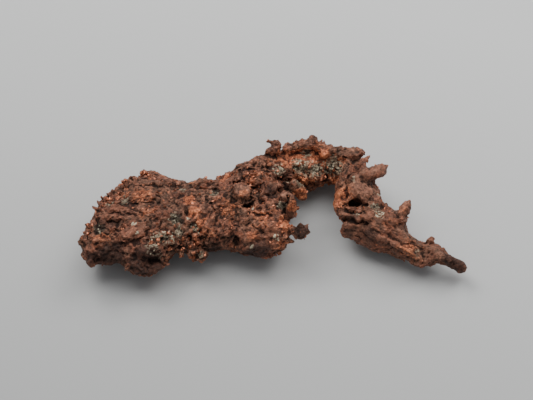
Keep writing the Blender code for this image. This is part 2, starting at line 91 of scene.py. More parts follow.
# Smooth places: middle, radius, share.
SMOOTH_PLACES = {
    "round_lobe": (-6.0, 2.1, 3.4, 0.95),
    "flake": (-33.0, -7.4, 4.0, 0.9),
    "waist_band": (-18.0, -2.4, 3.6, 0.7),
    "waist_foot": (-15.4, -6.4, 3.0, 0.5),
    "belly_dome": (-1.0, -8.6, 8.0, 0.8),
    "waist_slope": (-12.0, -6.0, 4.0, 0.4),
    "tongue": (34.8, -2.2, 2.6, 0.9),
    "thumb": (28.2, 7.4, 4.6, 1.0),
    "hanging_hook": (6.2, -2.0, 2.4, 0.7),
    "arch_band_left": (5.0, 10.4, 4.6, 0.9),
    "arch_band": (9.2, 10.4, 4.6, 0.9),
    "arch_band_right": (14.0, 10.6, 4.6, 0.9),
    "arm_face": (24.0, 3.0, 7.0, 0.9),
    "stub": (21.0, 11.6, 3.6, 0.6),
    "tail_face": (27.0, -7.5, 8.0, 0.9),
    "tail_wing": (34.0, -10.0, 8.0, 0.9),
    "tail_root_low": (24.0, -8.4, 6.0, 0.7),
    "tail_finger": (39.0, -12.0, 6.0, 0.8),
    "arm_flank": (18.4, 1.0, 5.0, 0.4),
}
# Prongs and knobs added to the fine skin: points in the view, each with a radius.
FINE_STRANDS = {
    "hook": (
        ((0.6, 11.2), 1.3), ((1.8, 12.6), 1.4), ((2.6, 13.8), 1.1),
        ((1.4, 14.6), 0.65), ((0.0, 14.6), 0.4),
    ),
    "hook_barb": (((1.0, 11.6), 0.9), ((0.1, 12.5), 0.4)),
    "crest": (
        ((5.0, 12.9), 1.2), ((8.0, 13.6), 1.3), ((11.4, 14.0), 1.3),
        ((13.6, 13.2), 1.2), ((15.4, 12.8), 1.0),
    ),
    "crest_horn": (((10.8, 14.4), 1.0), ((11.5, 15.5), 0.7), ((12.3, 15.5), 0.5)),
    "crest_nub_left": (((7.4, 14.0), 0.7), ((7.0, 15.0), 0.35)),
    "crest_nub_far_left": (((5.6, 13.2), 0.7), ((5.2, 14.2), 0.35)),
    "crest_nub_middle": (((9.0, 14.4), 0.8), ((9.2, 15.2), 0.4)),
    "crest_nub_right": (((13.2, 13.6), 0.8), ((13.8, 14.8), 0.4)),
    "crest_nub_far_right": (((15.2, 13.0), 0.8), ((16.0, 13.8), 0.4)),
    "stub_nub": (((18.2, 12.6), 0.8), ((18.7, 13.5), 0.4)),
    "stub": (((14.6, 11.8), 1.6), ((18.4, 11.7), 1.7), ((21.8, 11.5), 1.6), ((23.2, 11.8), 1.4)),
    "thorn": (
        ((24.4, 6.6), 1.3), ((24.1, 8.4), 0.9), ((24.0, 9.6), 0.9),
        ((25.0, 10.3), 0.6), ((25.8, 11.0), 0.35),
    ),
    "thumb": (((25.0, 6.0), 1.4), ((27.2, 6.9), 1.6), ((28.2, 7.4), 1.8)),
    "tongue": (
        ((34.2, -5.0), 1.3), ((34.3, -3.6), 1.3), ((34.7, -2.4), 1.5),
        ((35.2, -1.1), 1.0), ((35.5, -0.5), 0.7),
    ),
    "spike": (((40.8, -10.4), 0.9), ((41.3, -9.4), 0.5), ((41.7, -9.7), 0.35)),
    "tail_knob": (((42.6, -14.0), 1.0), ((44.6, -14.8), 1.1), ((46.6, -16.0), 1.4), ((48.5, -17.0), 1.45)),
    "burr": (((6.6, -7.2), 0.9), ((7.8, -7.8), 1.5), ((8.6, -8.0), 1.8)),
    "burr_top": (((8.6, -7.0), 0.7), ((8.8, -6.1), 0.45)),
    "burr_right": (((9.4, -7.8), 0.7), ((10.8, -8.2), 0.35)),
    "burr_foot": (((8.8, -8.6), 0.7), ((9.6, -9.9), 0.35)),
    "burr_heel": (((7.8, -8.8), 0.7), ((7.2, -9.9), 0.35)),
    "burr_left": (((7.2, -7.0), 0.7), ((6.2, -6.0), 0.35)),
    "burr_tip": (((9.4, -7.0), 0.6), ((10.4, -6.2), 0.35)),
    "rim_barb": (((4.4, -10.0), 1.0), ((6.6, -10.4), 0.5)),
    "belly_fill": (((-2.4, -7.2), 0.7), ((-1.4, -8.2), 0.7), ((-0.6, -9.2), 0.6)),
    "brow_fill": (((-7.0, 6.8), 0.7), ((-5.2, 7.2), 0.8), ((-3.4, 7.6), 0.7)),
    "lobe_foot": (((-7.8, -1.4), 0.7), ((-6.4, -2.0), 0.6)),
    "round_lobe": (((-6.4, 2.6), 1.8), ((-5.9, 1.9), 2.0)),
    "waist_fill": (((-20.8, -1.4), 0.8), ((-20.4, -3.4), 0.7)),
    "claw": (((4.6, 1.0), 1.4), ((6.3, -0.3), 1.2), ((6.8, -2.1), 1.2), ((6.2, -3.6), 1.1)),
    "berry": (((7.0, 3.8), 1.4), ((8.2, 2.6), 1.3), ((8.9, 1.4), 1.5)),
    "arch_drop_right": (((11.0, 3.6), 1.3), ((12.8, 4.2), 1.2)),
    "arm_nodule": (((16.6, 5.6), 1.2), ((17.2, 5.6), 1.4)),
    "hanger": (((-18.6, -12.2), 1.5), ((-17.8, -13.4), 1.5), ((-16.0, -13.8), 1.2)),
    "hanger_left": (((-21.4, -12.6), 0.9), ((-21.2, -13.6), 0.7)),
    "hanger_right": (((-16.6, -12.8), 1.0), ((-15.0, -13.6), 0.6)),
    "rim_peak_left": (((-34.4, 4.2), 0.9), ((-35.2, 4.6), 0.7)),
    "rim_peak_middle": (((-33.2, 5.2), 0.8), ((-34.0, 5.7), 0.6)),
    "rim_peak_top": (((-30.6, 6.6), 0.7), ((-30.9, 7.1), 0.5)),
    "rim_loop": (((-38.0, 1.6), 0.6), ((-38.6, 2.4), 0.45), ((-37.6, 2.9), 0.4), ((-35.8, 3.4), 0.4)),
    "rim_step_a": (((-38.8, 0.9), 0.7), ((-39.6, 1.5), 0.55)),
    "rim_step_b": (((-40.2, -0.2), 0.7), ((-41.0, 0.4), 0.5)),
    "rim_step_c": (((-41.4, -1.2), 0.7), ((-42.1, -0.6), 0.5)),
    "rim_step_d": (((-42.2, -2.4), 0.6), ((-42.8, -1.9), 0.4)),
    "rim_step_e": (((-44.6, -6.6), 0.6), ((-45.2, -6.2), 0.4)),
    "corner_point": (((-46.0, -9.8), 0.8), ((-46.8, -10.6), 0.6), ((-46.9, -11.4), 0.4)),
    "front_foot": (((-44.2, -15.6), 0.9), ((-43.4, -16.3), 0.8)),
    "front_wall": (((-43.0, -13.2), 0.9), ((-40.2, -13.6), 1.0), ((-37.4, -13.8), 0.9)),
    "front_shelf": (
        ((-42.0, -15.2), 0.8), ((-39.8, -15.5), 0.8), ((-37.4, -15.0), 0.9),
        ((-36.2, -14.8), 0.9),
    ),
    "front_tooth_a": (((-41.2, -15.6), 0.5), ((-41.1, -16.3), 0.35)),
    "front_tooth_b": (((-39.2, -15.6), 0.5), ((-39.0, -16.2), 0.35)),
    "bulge_corner": (((-34.4, -16.4), 0.8), ((-35.2, -17.3), 0.5)),
    "bulge_foot_a": (((-32.4, -17.8), 0.7), ((-32.6, -18.6), 0.45)),
    "bulge_foot_b": (((-29.6, -18.2), 0.7), ((-29.4, -18.9), 0.4)),
    "bulge_foot_c": (((-26.8, -17.4), 0.7), ((-26.2, -17.9), 0.45)),
    "bulge_ear": (((-25.6, -15.8), 0.7), ((-24.6, -16.0), 0.4)),
    "arch_knob_b": (((8.0, 6.0), 1.2), ((9.2, 5.2), 1.2)),
    "arch_knob_c": (((11.6, 5.8), 1.2), ((13.0, 5.6), 1.3)),
}
BEAD_SPACING = 0.35
MAX_STEP = 0.9
PROUD_RADIUS = 1.2
ROOT_GUESS = 8.0

# Ridges and grooves drawn on the skin: points in the view, half width, and height or, if less
# than 0, depth. A groove is pressed in along the line of sight.
STROKES = {
    "pit_row": (((-39.4, -5.6), (-38.2, -5.2), (-37.4, -6.0)), 0.7, -1.0),
    "flake": (((-36.0, -9.4), (-34.0, -8.2), (-32.0, -7.2), (-30.0, -6.6)), 1.3, 0.3),
    "under_flake": (((-36.6, -10.4), (-33.6, -10.8), (-31.2, -9.6), (-29.2, -8.2)), 0.5, -0.5),
    "bowl": (((-30.0, -15.0), (-28.6, -15.6), (-27.2, -15.4)), 1.2, -1.4),
    "bowl_rim": (((-31.0, -13.0), (-29.0, -12.0), (-26.8, -12.2), (-25.4, -13.4)), 0.8, 0.6),
    "bulge_lip": (((-33.5, -15.6), (-31.0, -17.4), (-27.0, -18.2), (-23.5, -17.2)), 0.7, 0.6),
    "lobe_right": (((-4.2, 3.6), (-3.6, 2.0), (-3.8, 0.4)), 0.6, -1.2),
    "lobe_crown": (((-8.0, 4.2), (-6.2, 4.6), (-4.6, 4.2)), 0.5, -0.8),
    "arm_lobe_left": (((20.4, 6.0), (20.0, 3.4), (20.6, 0.8)), 0.5, -0.8),
    "slab_crest": (((-33.0, 5.0), (-29.2, 6.0), (-25.4, 5.0), (-22.2, 4.0)), 1.0, 0.5),
    "under_crest": (((-33.0, 3.4), (-29.4, 3.8), (-25.6, 3.0)), 0.4, -0.4),
    "slab_line_a": (((-40.6, -0.8), (-35.4, -1.2), (-29.2, -0.6)), 0.4, -0.4),
    "slab_line_b": (((-39.2, -3.2), (-33.0, -3.8), (-28.8, -3.2)), 0.4, -0.4),
    "slab_line_c": (((-36.0, 1.4), (-31.0, 2.0), (-27.0, 1.0)), 0.4, -0.3),
    "waist_right": (((-15.4, 2.0), (-14.6, -0.6), (-12.6, -3.4), (-11.8, -6.6)), 0.5, -0.5),
    "waist_low": (((-15.6, -11.0), (-11.6, -10.8), (-7.8, -10.6)), 0.8, -0.5),
    "waist_lip": (((-18.8, 4.0), (-15.0, 4.6), (-12.4, 4.4)), 0.8, 0.5),
    "under_waist_lip": (((-17.0, 2.6), (-14.2, 2.8), (-11.6, 2.2)), 0.6, -0.7),
    "under_lobe": (((-5.8, -1.4), (-4.6, -1.6), (-3.4, -0.8)), 0.7, -1.3),
    "lobe_left": (((-8.6, 3.0), (-8.9, 1.0), (-8.0, -0.4)), 0.6, -0.7),
    "under_brow": (((-7.4, 7.4), (-5.6, 7.2), (-3.8, 7.8), (-2.4, 8.6)), 0.6, -0.4),
    "neck_dark": (((-1.2, 8.4), (0.0, 7.0), (0.6, 5.6)), 0.7, -1.0),
    "hook_root": (((-0.2, 11.6), (1.0, 10.8), (2.2, 10.6)), 0.6, -1.0),
    "knot_left": (((-2.6, 3.0), (-2.2, 0.6), (-0.8, -0.6)), 0.7, -1.2),
    "knot_right": (((3.0, 5.0), (4.6, 3.6), (5.6, 2.6)), 0.9, -1.6),
    "under_knot": (((0.4, 1.0), (2.4, 0.4), (4.2, 0.0)), 0.6, -0.7),
    "beside_claw": (((5.5, 0.8), (5.2, -1.0), (4.8, -3.0)), 0.8, -1.5),
    "belly_crack": (((-5.6, -6.4), (-4.0, -6.0), (-2.4, -7.0), (-0.6, -8.6)), 0.35, -0.45),
    "belly_border": (((-12.0, -10.0), (-9.8, -9.8), (-8.2, -8.4), (-7.4, -6.6)), 0.6, -0.5),
    "belly_rim": (((4.6, -4.4), (5.0, -6.4), (4.6, -9.0)), 0.8, 0.5),
    "belly_top": (((-4.0, -3.4), (-1.0, -4.0), (2.6, -3.6)), 0.6, -0.4),
    "arch_band": (((4.2, 10.6), (8.2, 10.9), (12.8, 10.7), (16.4, 11.0)), 1.6, -0.3),
    "arm_cave": (((20.4, -1.4), (22.0, -1.2), (24.4, -1.6)), 0.8, -1.0),
    "arm_border": (((18.8, 5.2), (19.6, 2.6), (20.2, 0.4)), 0.7, -0.35),
    "jaw_top": (((20.0, -2.8), (22.4, -3.2), (24.6, -2.9)), 0.5, -0.9),
    "jaw": (((19.0, -3.6), (21.4, -4.3), (23.9, -4.5), (25.8, -4.0)), 0.8, 0.7),
    "under_jaw": (((19.4, -5.0), (22.2, -5.5), (24.0, -5.4)), 0.6, -1.1),
    "tail_line_a": (((22.4, -9.0), (27.0, -10.8), (31.0, -12.2)), 0.35, -0.35),
    "tail_line_b": (((27.0, -7.4), (31.6, -9.8), (35.6, -11.6)), 0.35, -0.3),
    "tail_valley": (((36.6, -10.8), (38.2, -12.0), (40.2, -13.4)), 0.7, -0.5),
    "tail_ridge": (((24.6, -7.4), (30.0, -10.0), (35.4, -12.6), (38.6, -14.6)), 0.6, 0.4),
}
STROKE_SPACING = 0.3
STROKE_SPREAD = 1.5

# Parts moved a little across the line of sight: middle, radius, and how far to the right and up.
NUDGES = {
    "slab_left": (-42.2, -3.4, 3.0, -0.5, 0.2),
    "slab_notch": (-36.8, 2.6, 2.6, 0.8, -1.3),
    "slab_peak": (-29.5, 5.6, 4.0, 0.4, -0.4),
    "slab_corner": (-44.8, -13.2, 3.4, 1.0, 0.0),
    "shelf_end": (-36.6, -14.6, 2.4, 0.0, 0.5),
    "bulge_right": (-26.6, -16.6, 2.8, 0.5, -0.4),
    "slab_back": (-22.7, 4.6, 4.0, 0.0, 0.3),
    "waist_back": (-11.0, 5.6, 3.4, 0.0, -1.0),
    "brow": (-7.2, 7.8, 3.0, 0.0, 0.5),
    "neck_back": (-2.8, 9.6, 3.0, 0.0, -0.3),
    "hanger": (-19.0, -13.2, 4.0, 0.0, -0.6),
    "waist_foot": (-12.5, -12.6, 4.0, 0.0, -0.9),
    "belly_foot": (1.0, -12.0, 5.0, 0.0, 0.9),
    "claw": (6.4, -2.0, 3.4, -1.0, 0.0),
    "claw_foot": (4.8, -4.4, 2.4, -0.4, 0.3),
    "hook": (1.2, 12.4, 3.0, 0.7, 0.2),
    "crest": (6.0, 12.6, 4.0, 0.0, -0.4),
    "crest_right": (14.2, 12.8, 3.0, 0.0, -0.7),
    "stub": (20.0, 11.4, 4.0, 0.0, -0.3),
    "thumb": (28.0, 7.6, 3.4, -0.3, -0.4),
    "arch_foot": (14.5, 1.8, 4.0, 0.0, -1.0),
    "arm_flank": (17.8, -0.6, 4.8, -1.0, 0.0),
    "arm_chin": (19.8, -7.3, 3.4, -0.6, 0.0),
    "tongue": (34.8, -4.0, 4.0, -0.4, 0.0),
    "tail_foot_left": (26.3, -11.0, 5.0, 0.0, -1.3),
    "tail_foot_right": (38.6, -14.8, 4.0, 0.0, -0.6),
    "tail_back": (42.6, -12.4, 3.4, 0.3, 0.6),
    "tail_end": (47.0, -16.0, 5.0, 0.0, 0.6),
}

# Patches of colour: middle, radius, share.
BRIGHT_PATCHES = {
    "waist_top": (-19.2, -0.2, 2.8, 0.95),
    "waist_middle": (-18.2, -2.8, 2.8, 0.9),
    "waist_low": (-16.6, -5.4, 2.8, 0.9),
    "waist_foot": (-14.4, -8.0, 3.0, 0.5),
    "upper_nodules": (-10.0, 5.6, 2.8, 0.9),
    "centre_field": (-9.5, -2.0, 7.0, 0.45),
    "lobe_top": (-5.8, 2.2, 2.2, 0.65),
    "belly_field": (-1.0, -4.6, 7.0, 0.45),
    "belly_rim": (4.4, -6.0, 3.4, 1.2),
    "belly_front": (-3.2, -9.0, 3.4, 0.6),
    "arch_band_left": (4.6, 10.4, 4.4, 1.1),
    "arch_band_middle": (8.6, 10.4, 5.0, 1.1),
    "arch_band_right": (13.4, 10.8, 5.0, 1.1),
    "arch_band_end": (18.0, 9.4, 3.6, 0.8),
    "arch_nodules": (9.6, 5.0, 6.0, 0.9),
    "berry": (8.8, 1.6, 3.4, 1.1),
    "arm_nodule": (17.2, 5.6, 2.8, 1.2),
    "arm_flank": (18.4, 1.0, 5.4, 0.85),
    "hanging_hook": (7.6, -1.4, 2.6, 1.2),
    "neck": (0.8, 9.0, 2.0, 0.6),
    "tail_root": (28.0, -6.6, 6.0, 0.25),
    "tail_upper": (31.6, -4.8, 4.0, 0.25),
    "tail": (35.6, -12.4, 5.6, 0.55),
    "tongue": (34.8, -2.4, 2.6, 0.4),
    "slab_top": (-31.0, 1.6, 5.4, 0.6),
    "slab_back": (-36.0, 1.4, 4.0, 0.5),
    "slab_left": (-41.0, -9.6, 5.4, 0.5),
    "slab_middle": (-30.0, -3.0, 4.6, 0.4),
    "stub": (16.4, 11.4, 2.0, 0.5),
}
# Dark patches: partly the copper's own dark tone, partly painted shade on the fronts, the undersides and
# in the hollows, where the light doesn't reach.
SHADE_AND_DARK_PATCHES = {
    "slab_front": (-30.0, -16.2, 7.4, 1.5),
    "slab_front_left": (-39.0, -14.0, 6.0, 1.3),
    "corner_foot": (-44.0, -14.6, 3.6, 1.0),
    "slab_pits": (-38.4, -6.0, 2.2, 0.8),
    "left_crust": (-41.4, -6.4, 4.0, 0.8),
    "right_crust": (-22.0, -4.2, 3.6, 0.6),
    "hill": (-26.0, -10.2, 4.0, 0.45),
    "tail_root": (25.4, -8.4, 5.0, 0.6),
    "belly_foot": (-3.4, -13.2, 5.0, 1.2),
    "crust_hollow": (-28.0, -12.6, 3.0, 0.8),
    "waist_cleft": (-20.6, -2.2, 2.0, 0.5),
    "waist_right": (-20.2, 2.0, 2.4, 0.5),
    "under_lobe": (-4.6, -1.2, 2.2, 0.9),
    "upper_hollow": (-4.4, 7.2, 2.4, 0.8),
    "neck": (0.2, 7.6, 2.2, 0.9),
    "centre_right": (1.0, 2.2, 3.2, 0.7),
    "belly_underside": (-2.0, -13.0, 5.0, 1.0),
    "waist_underside": (-13.5, -12.0, 6.0, 0.8),
    "belly_crack": (-2.0, -7.8, 3.0, 0.5),
    "burr": (8.8, -7.8, 4.0, 1.3),
    "berry_root": (5.0, 3.4, 2.0, 0.8),
    "arm_cave": (22.0, -0.8, 2.6, 1.0),
    "arm_flank": (17.6, 0.2, 4.4, 0.5),
    "claw_back": (4.6, -1.6, 2.0, 0.6),
    "arm_jaw": (22.0, -4.4, 2.6, 0.7),
    "lower_lip": (20.6, -8.0, 2.4, 0.8),
    "tail_underside": (29.0, -13.4, 5.0, 0.8),
    "tail_neck": (42.8, -14.8, 3.0, 0.3),
    "tail_end": (47.0, -15.8, 5.6, 1.2),
}
CRUST_PATCHES = {
    "left_crust": (-41.8, -7.0, 2.6, 1.0),
    "left_crust_top": (-39.4, -1.0, 2.2, 0.7),
    "slab_streak": (-35.6, -0.2, 2.6, 0.6),
    "slab_right": (-22.8, -4.6, 2.6, 1.0),
    "slab_corner": (-20.8, 2.6, 1.8, 0.7),
    "waist_pocket": (-17.8, -7.2, 2.0, 0.8),
    "crust_hill": (-26.0, -9.4, 3.4, 0.75),
    "crust_hill_top": (-22.0, -8.0, 2.2, 0.7),
    "centre_pocket": (-13.0, 1.4, 2.4, 0.8),
    "arch_middle": (8.8, 8.4, 4.4, 0.9),
    "arch_lower": (12.0, 7.4, 4.0, 0.8),
    "arch_left": (3.0, 7.2, 3.0, 0.7),
    "arch_crest": (9.6, 12.0, 2.6, 0.8),
    "arm_top": (21.6, 5.0, 1.8, 0.5),
    "arch_right": (16.6, 8.2, 4.4, 1.0),
    "arm_shoulder": (27.4, -1.8, 2.4, 0.7),
    "arm_edge": (28.0, 1.2, 1.8, 0.6),
    "hook_gap": (4.4, -1.4, 2.2, 1.0),
    "belly_grains": (2.0, -9.6, 2.0, 0.5),
    "hanger": (-16.4, -13.4, 1.8, 0.7),
    "tail_pocket": (37.6, -12.8, 1.8, 0.5),
}
PALE_PATCHES = {
    "slab_chip": (-33.2, -6.2, 0.6, 2.6),
    "flake_edge": (-32.4, -8.4, 0.5, 2.4),
    "hill_upper": (-27.6, -9.8, 2.4, 1.1),
    "hill_left": (-28.8, -12.0, 2.6, 1.1),
    "hill_right": (-23.4, -9.8, 2.0, 1.1),
    "hill_middle": (-25.2, -8.4, 2.0, 0.9),
    "bowl": (-27.0, -14.2, 2.0, 0.9),
    "waist": (-19.6, -5.0, 0.9, 0.6),
    "belly_tooth": (-3.6, -11.6, 0.8, 2.6),
    "centre": (-3.4, -2.2, 0.9, 0.7),
    "belly_right": (2.6, -9.6, 1.0, 0.9),
    "arch_left": (3.2, 8.4, 2.0, 0.6),
    "arch_middle": (8.8, 9.0, 2.2, 0.7),
    "arch_row": (12.4, 7.4, 2.4, 0.7),
    "arm": (22.0, 5.6, 1.0, 0.6),
    "jaw": (22.6, -3.4, 1.6, 0.6),
    "shoulder": (28.4, -4.0, 2.6, 0.8),
    "arch_end": (17.0, 8.4, 2.2, 0.7),
}
PATCHES = {
    "bright": BRIGHT_PATCHES,
    "dark": SHADE_AND_DARK_PATCHES,
    "crust": CRUST_PATCHES,
    "pale": PALE_PATCHES,
}
# Patches strewn over the sides that the observer doesn't see: how many, radii and shares.
HIDDEN_PATCHES = {
    "bright": (40, (1.8, 5.0), (0.4, 1.0)),
    "dark": (22, (1.6, 4.4), (0.4, 0.9)),
    "crust": (26, (1.2, 3.4), (0.5, 1.0)),
    "pale": (18, (0.7, 1.5), (0.5, 0.9)),
}
HIDDEN_KNOBBLINESS = 0.8
HIDDEN_FIELD = 7.0
LEAST_HIDDEN = 0.1
TURNED_AWAY = -0.1
PATCH_SEED = 11
NOISE_SEED = 1

# Relief of the skin: sizes and heights of its layers, in millimetres.
LARGE_KNOB = 1.9
LARGE_HEIGHT = 0.55
MIDDLING_KNOB = 1.0
MIDDLING_HEIGHT = 0.34
CREST = 1.35
CREST_HEIGHT = 0.36
FINE_CREST = 0.65
FINE_CREST_HEIGHT = 0.07
FINE_CREST_ROUGH = 0.13
JAG = 1.1
JAG_SHIFT = 0.7
PIT = 2.4
PIT_DEPTH = 1.2
LEDGE_LENGTH = 5.0
LEDGE_WIDTH = 1.1
LEDGE_HEIGHT = 0.6
FIBRE_LENGTH = 3.0
FIBRE_WIDTH = 0.75
FIBRE_HEIGHT = 0.17
LINE_LENGTH = 9.0
LINE_WIDTH = 1.6
STOUT = 3.0
JUST_INSIDE = 0.3
RAGGED_SIZE = 1.3
RAGGED_SHIFT = 0.7
TOP = 16.5
LOWEST_GRAIN = 0.4
# Shifts that take the noise of each layer from another place.
MIDDLING_SEED = 7.0
CREST_SEED = 3.0
FINE_CREST_SEED = 17.0
FIBRE_SEED = 23.0
PIT_SEED = 33.0
HIDDEN_SEED = 51.0
# Slopes of the streaks, in degrees, on the slab and to the right of TAIL_FROM on the tail.
SLAB_SLOPE = 3.0
TAIL_SLOPE = -26.0
TAIL_FROM = 15.0
# Shares and counts of the relief.
PIT_THRESHOLD = 0.18
DEEPEST_PIT = 0.5
CREST_STEPS = 4.0
LEDGE_STEPS = 5.0
STEP_STEEPNESS = 2.5
STEP_FLAT = 0.9
DOME_FALL = 1.1
GAP_STEEPNESS = 3.2
CREST_FALL = 2.2
LEAST_RELIEF = 0.25
LEAST_ROUGH = 0.4
LOST_WHERE_SMOOTH = 0.85
JAG_LOST_WHERE_SMOOTH = 0.7
CREST_LOST_WHERE_STREAKED = 0.4
PIT_LOST_WHERE_STREAKED = 0.5
FACET_ROUNDS = 2
NEAR_ROUNDS = 5
WIDE_ROUNDS = 60
ABOVE_TOP = 0.35
AWAY_STEEPNESS = 1.5

# How uneven the grains are, and how their shares follow the relief and the patches.
GRAIN_VARIANTS = 5
GRAIN_UNEVENNESS = 1.6
GRAIN_LUMPS = 0.9
GRAIN_NARROWNESS = 0.8
LEAST_SHARDS = 0.15
SHARDS_LOST_WHERE_STREAKED = 0.6
RAISED_STEEPNESS = 4.0
SHARP_STEEPNESS = 5.0
SHARP_FROM = 0.2
DARK_STEEPNESS = 2.0

# Colours: red, green and blue in linear shares, and opacity.
BROWN = (0.125, 0.050, 0.029, 1.0)
RED_BROWN = (0.245, 0.080, 0.042, 1.0)
UMBER = (0.140, 0.082, 0.050, 1.0)
WORN = (0.360, 0.150, 0.090, 1.0)
RED_COPPER = (0.340, 0.095, 0.045, 1.0)
ORANGE_COPPER = (0.680, 0.220, 0.100, 1.0)
# GLINT is a painted highlight, laid on the ridges of the bright copper.
GLINT = (0.850, 0.330, 0.150, 1.0)
CRUST_DARK = (0.100, 0.084, 0.058, 1.0)
CRUST = (0.360, 0.310, 0.215, 1.0)
PALE = (0.700, 0.610, 0.430, 1.0)
# DARK is laid on the dark patches, partly as painted shade; BLACK_BROWN on specks and cracks, and as
# painted shade in the hollows.
DARK = (0.030, 0.012, 0.008, 1.0)
BLACK_BROWN = (0.018, 0.009, 0.007, 1.0)
FLOOR = (0.525, 0.530, 0.525, 1.0)
# Painted light on the floor: how much lighter it gets for each metre away from the observer and to the
# right.
FLOOR_PAINTED_LIGHT_FAR = 2.3
FLOOR_PAINTED_LIGHT_RIGHT = 0.9
FLOOR_PAINTED_LIGHT_MOST = 0.20
FLOOR_MOTTLE = 0.03
FLOOR_MOTTLE_SCALE = 9.0
FLOOR_ROUGHNESS = 0.9
FLOOR_SPECULAR = 0.1

# The copper's surface: sizes of its grain, chips and lines, in millimetres.
BUMP_HEIGHT = 0.22
FINE_GRAIN = 0.45
MIDDLING_GRAIN = 1.3
BROAD_GRAIN = 5.0
SPECK = 0.55
CHIP = 0.42
COARSE_CHIP = 0.85
LONG_CHIP = 0.38
KNOB = 0.5
TINY_GRAIN = 0.2
PALE_STRING = 1.8
CRACK = 2.4
FINE_CRACK = 1.1
STREAK_LINE = 0.6
LOOSE_GRAIN = 0.3
# Widths of strings, lines and cracks, as shares of the noise that they follow.
PALE_STRING_WIDTH = 0.07
STREAK_LINE_WIDTH = 0.05
CRACK_WIDTH = 0.03
FINE_CRACK_WIDTH = 0.035
# Where each layer of colour starts and where it is full.
RED_BROWN_EDGE = (0.34, 0.66)
UMBER_EDGE = (0.42, 0.62)
BRIGHT_EDGE = (0.22, 0.62)
DARK_EDGE = (0.15, 0.8)
CRUST_EDGE = (0.34, 0.55)
PALE_EDGE = (0.25, 0.45)
SOLID_PALE_EDGE = (1.2, 1.6)
# The hollow-shade and deep-shade layers are painted shade laid in the hollows of the skin.
HOLLOW_SHADE_EDGE = (0.01, 0.11)
DEEP_SHADE_EDGE = (0.05, 0.55)
RIDGE_EDGE = (0.02, 0.12)
SPECK_EDGE = (0.60, 0.70)
ORANGE_EDGE = (0.35, 0.68)
LIGHT_CRUST_EDGE = (0.38, 0.62)
# How much the grain frays the edges of each layer.
MIDDLING_FRAY = 0.9
BRIGHT_FRAY = 0.9
DARK_FRAY = 0.6
CRUST_FRAY = 1.3
PALE_FRAY = 0.8
HOLLOW_FRAY = 0.05
# How strongly each layer covers what lies under it.
UMBER_COVER = 0.5
WORN_COVER = 0.45
TONE_COVER = 0.4
BRIGHT_COVER = 0.85
GLINT_COVER = 0.4
CRUST_COVER = 0.8
PALE_COVER = 0.9
SPECK_COVER = 0.7
LINE_COVER = 0.7
FINE_CRACK_COVER = 0.6
DARK_COVER = 0.78
# The hollow-shade and deep-shade covers set how dark the painted shade in the hollows gets.
HOLLOW_SHADE_COVER = 0.8
DEEP_SHADE_COVER = 0.45
DEEP_SHADE_LOST_WHERE_BRIGHT = 0.6
CRACKS_LOST_WHERE_SMOOTH = 0.7
# How light the copper is: at least, and what chips of each size add or take away.
LEAST_SHADE = 0.30
STREAKED_SHADE = 0.22
CHIP_SHADE = 0.85
CHIPS_LOST_WHERE_STREAKED = 0.6
COARSE_CHIP_SHADE = 0.65
LONG_CHIP_SHADE = 0.05
TONE_SHADE = 0.45
# The bump's layers, and how strongly the bump and the sheen change with them.
FINE_BUMP = 0.5
CHIP_BUMP = 0.4
KNOB_BUMP = -0.4
TINY_BUMP = 0.3
LINE_BUMP = 0.5
BUMP_STRENGTH = 0.8
LOOSE_BUMP_STRENGTH = 0.5
UNEVEN_ROUGHNESS = 0.3
LOOSE_UNEVEN_ROUGHNESS = 0.2
SPECULAR = 0.3
ROUGHNESS = 0.58
DULL_ROUGHNESS = 0.3
BRIGHT_METAL = 0.4

# The camera's sensor in millimetres, and its clipping distances in metres.
SENSOR_WIDTH = 36.0
NEAREST = 0.01
FARTHEST = 20.0

# Middles of the soft lights, in metres, their shares of the key power, and their widths.
SOFT_LIGHTS = (
    ((-0.32, 0.30, 0.55), 0.8, 0.45),
    ((0.36, 0.34, 0.50), 0.7, 0.45),
    ((0.00, 0.11, 0.80), 1.15, 0.80),
)
LIGHT_FLATNESS = 0.66
LIGHT_COLOUR = (1.0, 0.99, 0.98)
SURROUNDINGS = (0.93, 0.96, 1.0, 1.0)

# What each strewn kind of grain is made with: the tree's inputs by name.
STREWN = {
    "shards": {
        "Mask": "shard_share",
        "Density": 0.8,
        "Smallest": 0.20,
        "Largest": 0.55,
        "Height": 0.4,
        "Rise": -0.1,
        "Tilt": 0.8,
        "Detail": 1,
        "Seed": 13,
    },
    "nodules": {
        "Mask": "nodule_share",
        "Density": 0.45,
        "Smallest": 0.30,
        "Largest": 0.70,
        "Height": 0.8,
        "Rise": -0.3,
        "Tilt": 0.3,
        "Detail": 2,
        "Seed": 3,
    },
    "spines": {
        "Mask": "spine_share",
        "Density": 0.5,
        "Smallest": 0.12,
        "Largest": 0.24,
        "Height": 2.0,
        "Rise": 0.3,
        "Tilt": 0.9,
        "Detail": 1,
        "Seed": 17,
    },
    "white_grains": {
        "Mask": "white_share",
        "Density": 0.9,
        "Smallest": 0.10,
        "Largest": 0.28,
        "Height": 0.6,
        "Rise": 0.25,
        "Tilt": 0.5,
        "Detail": 1,
        "Seed": 5,
    },
    "crust_grains": {
        "Mask": "crust_share",
        "Density": 1.9,
        "Smallest": 0.12,
        "Largest": 0.36,
        "Height": 0.5,
        "Rise": 0.2,
        "Tilt": 0.5,
        "Detail": 1,
        "Seed": 8,
    },
}


def on_view_plane(across, up):
    return VIEW_POINT + VIEW_RIGHT * across + VIEW_UP * up


def touch(skin, across, up):
    """Where the observer's line of sight meets the skin, or None."""
    sight = (on_view_plane(across, up) - EYE).normalized()
    place, _, _, _ = skin.ray_cast(EYE, sight)
    return place


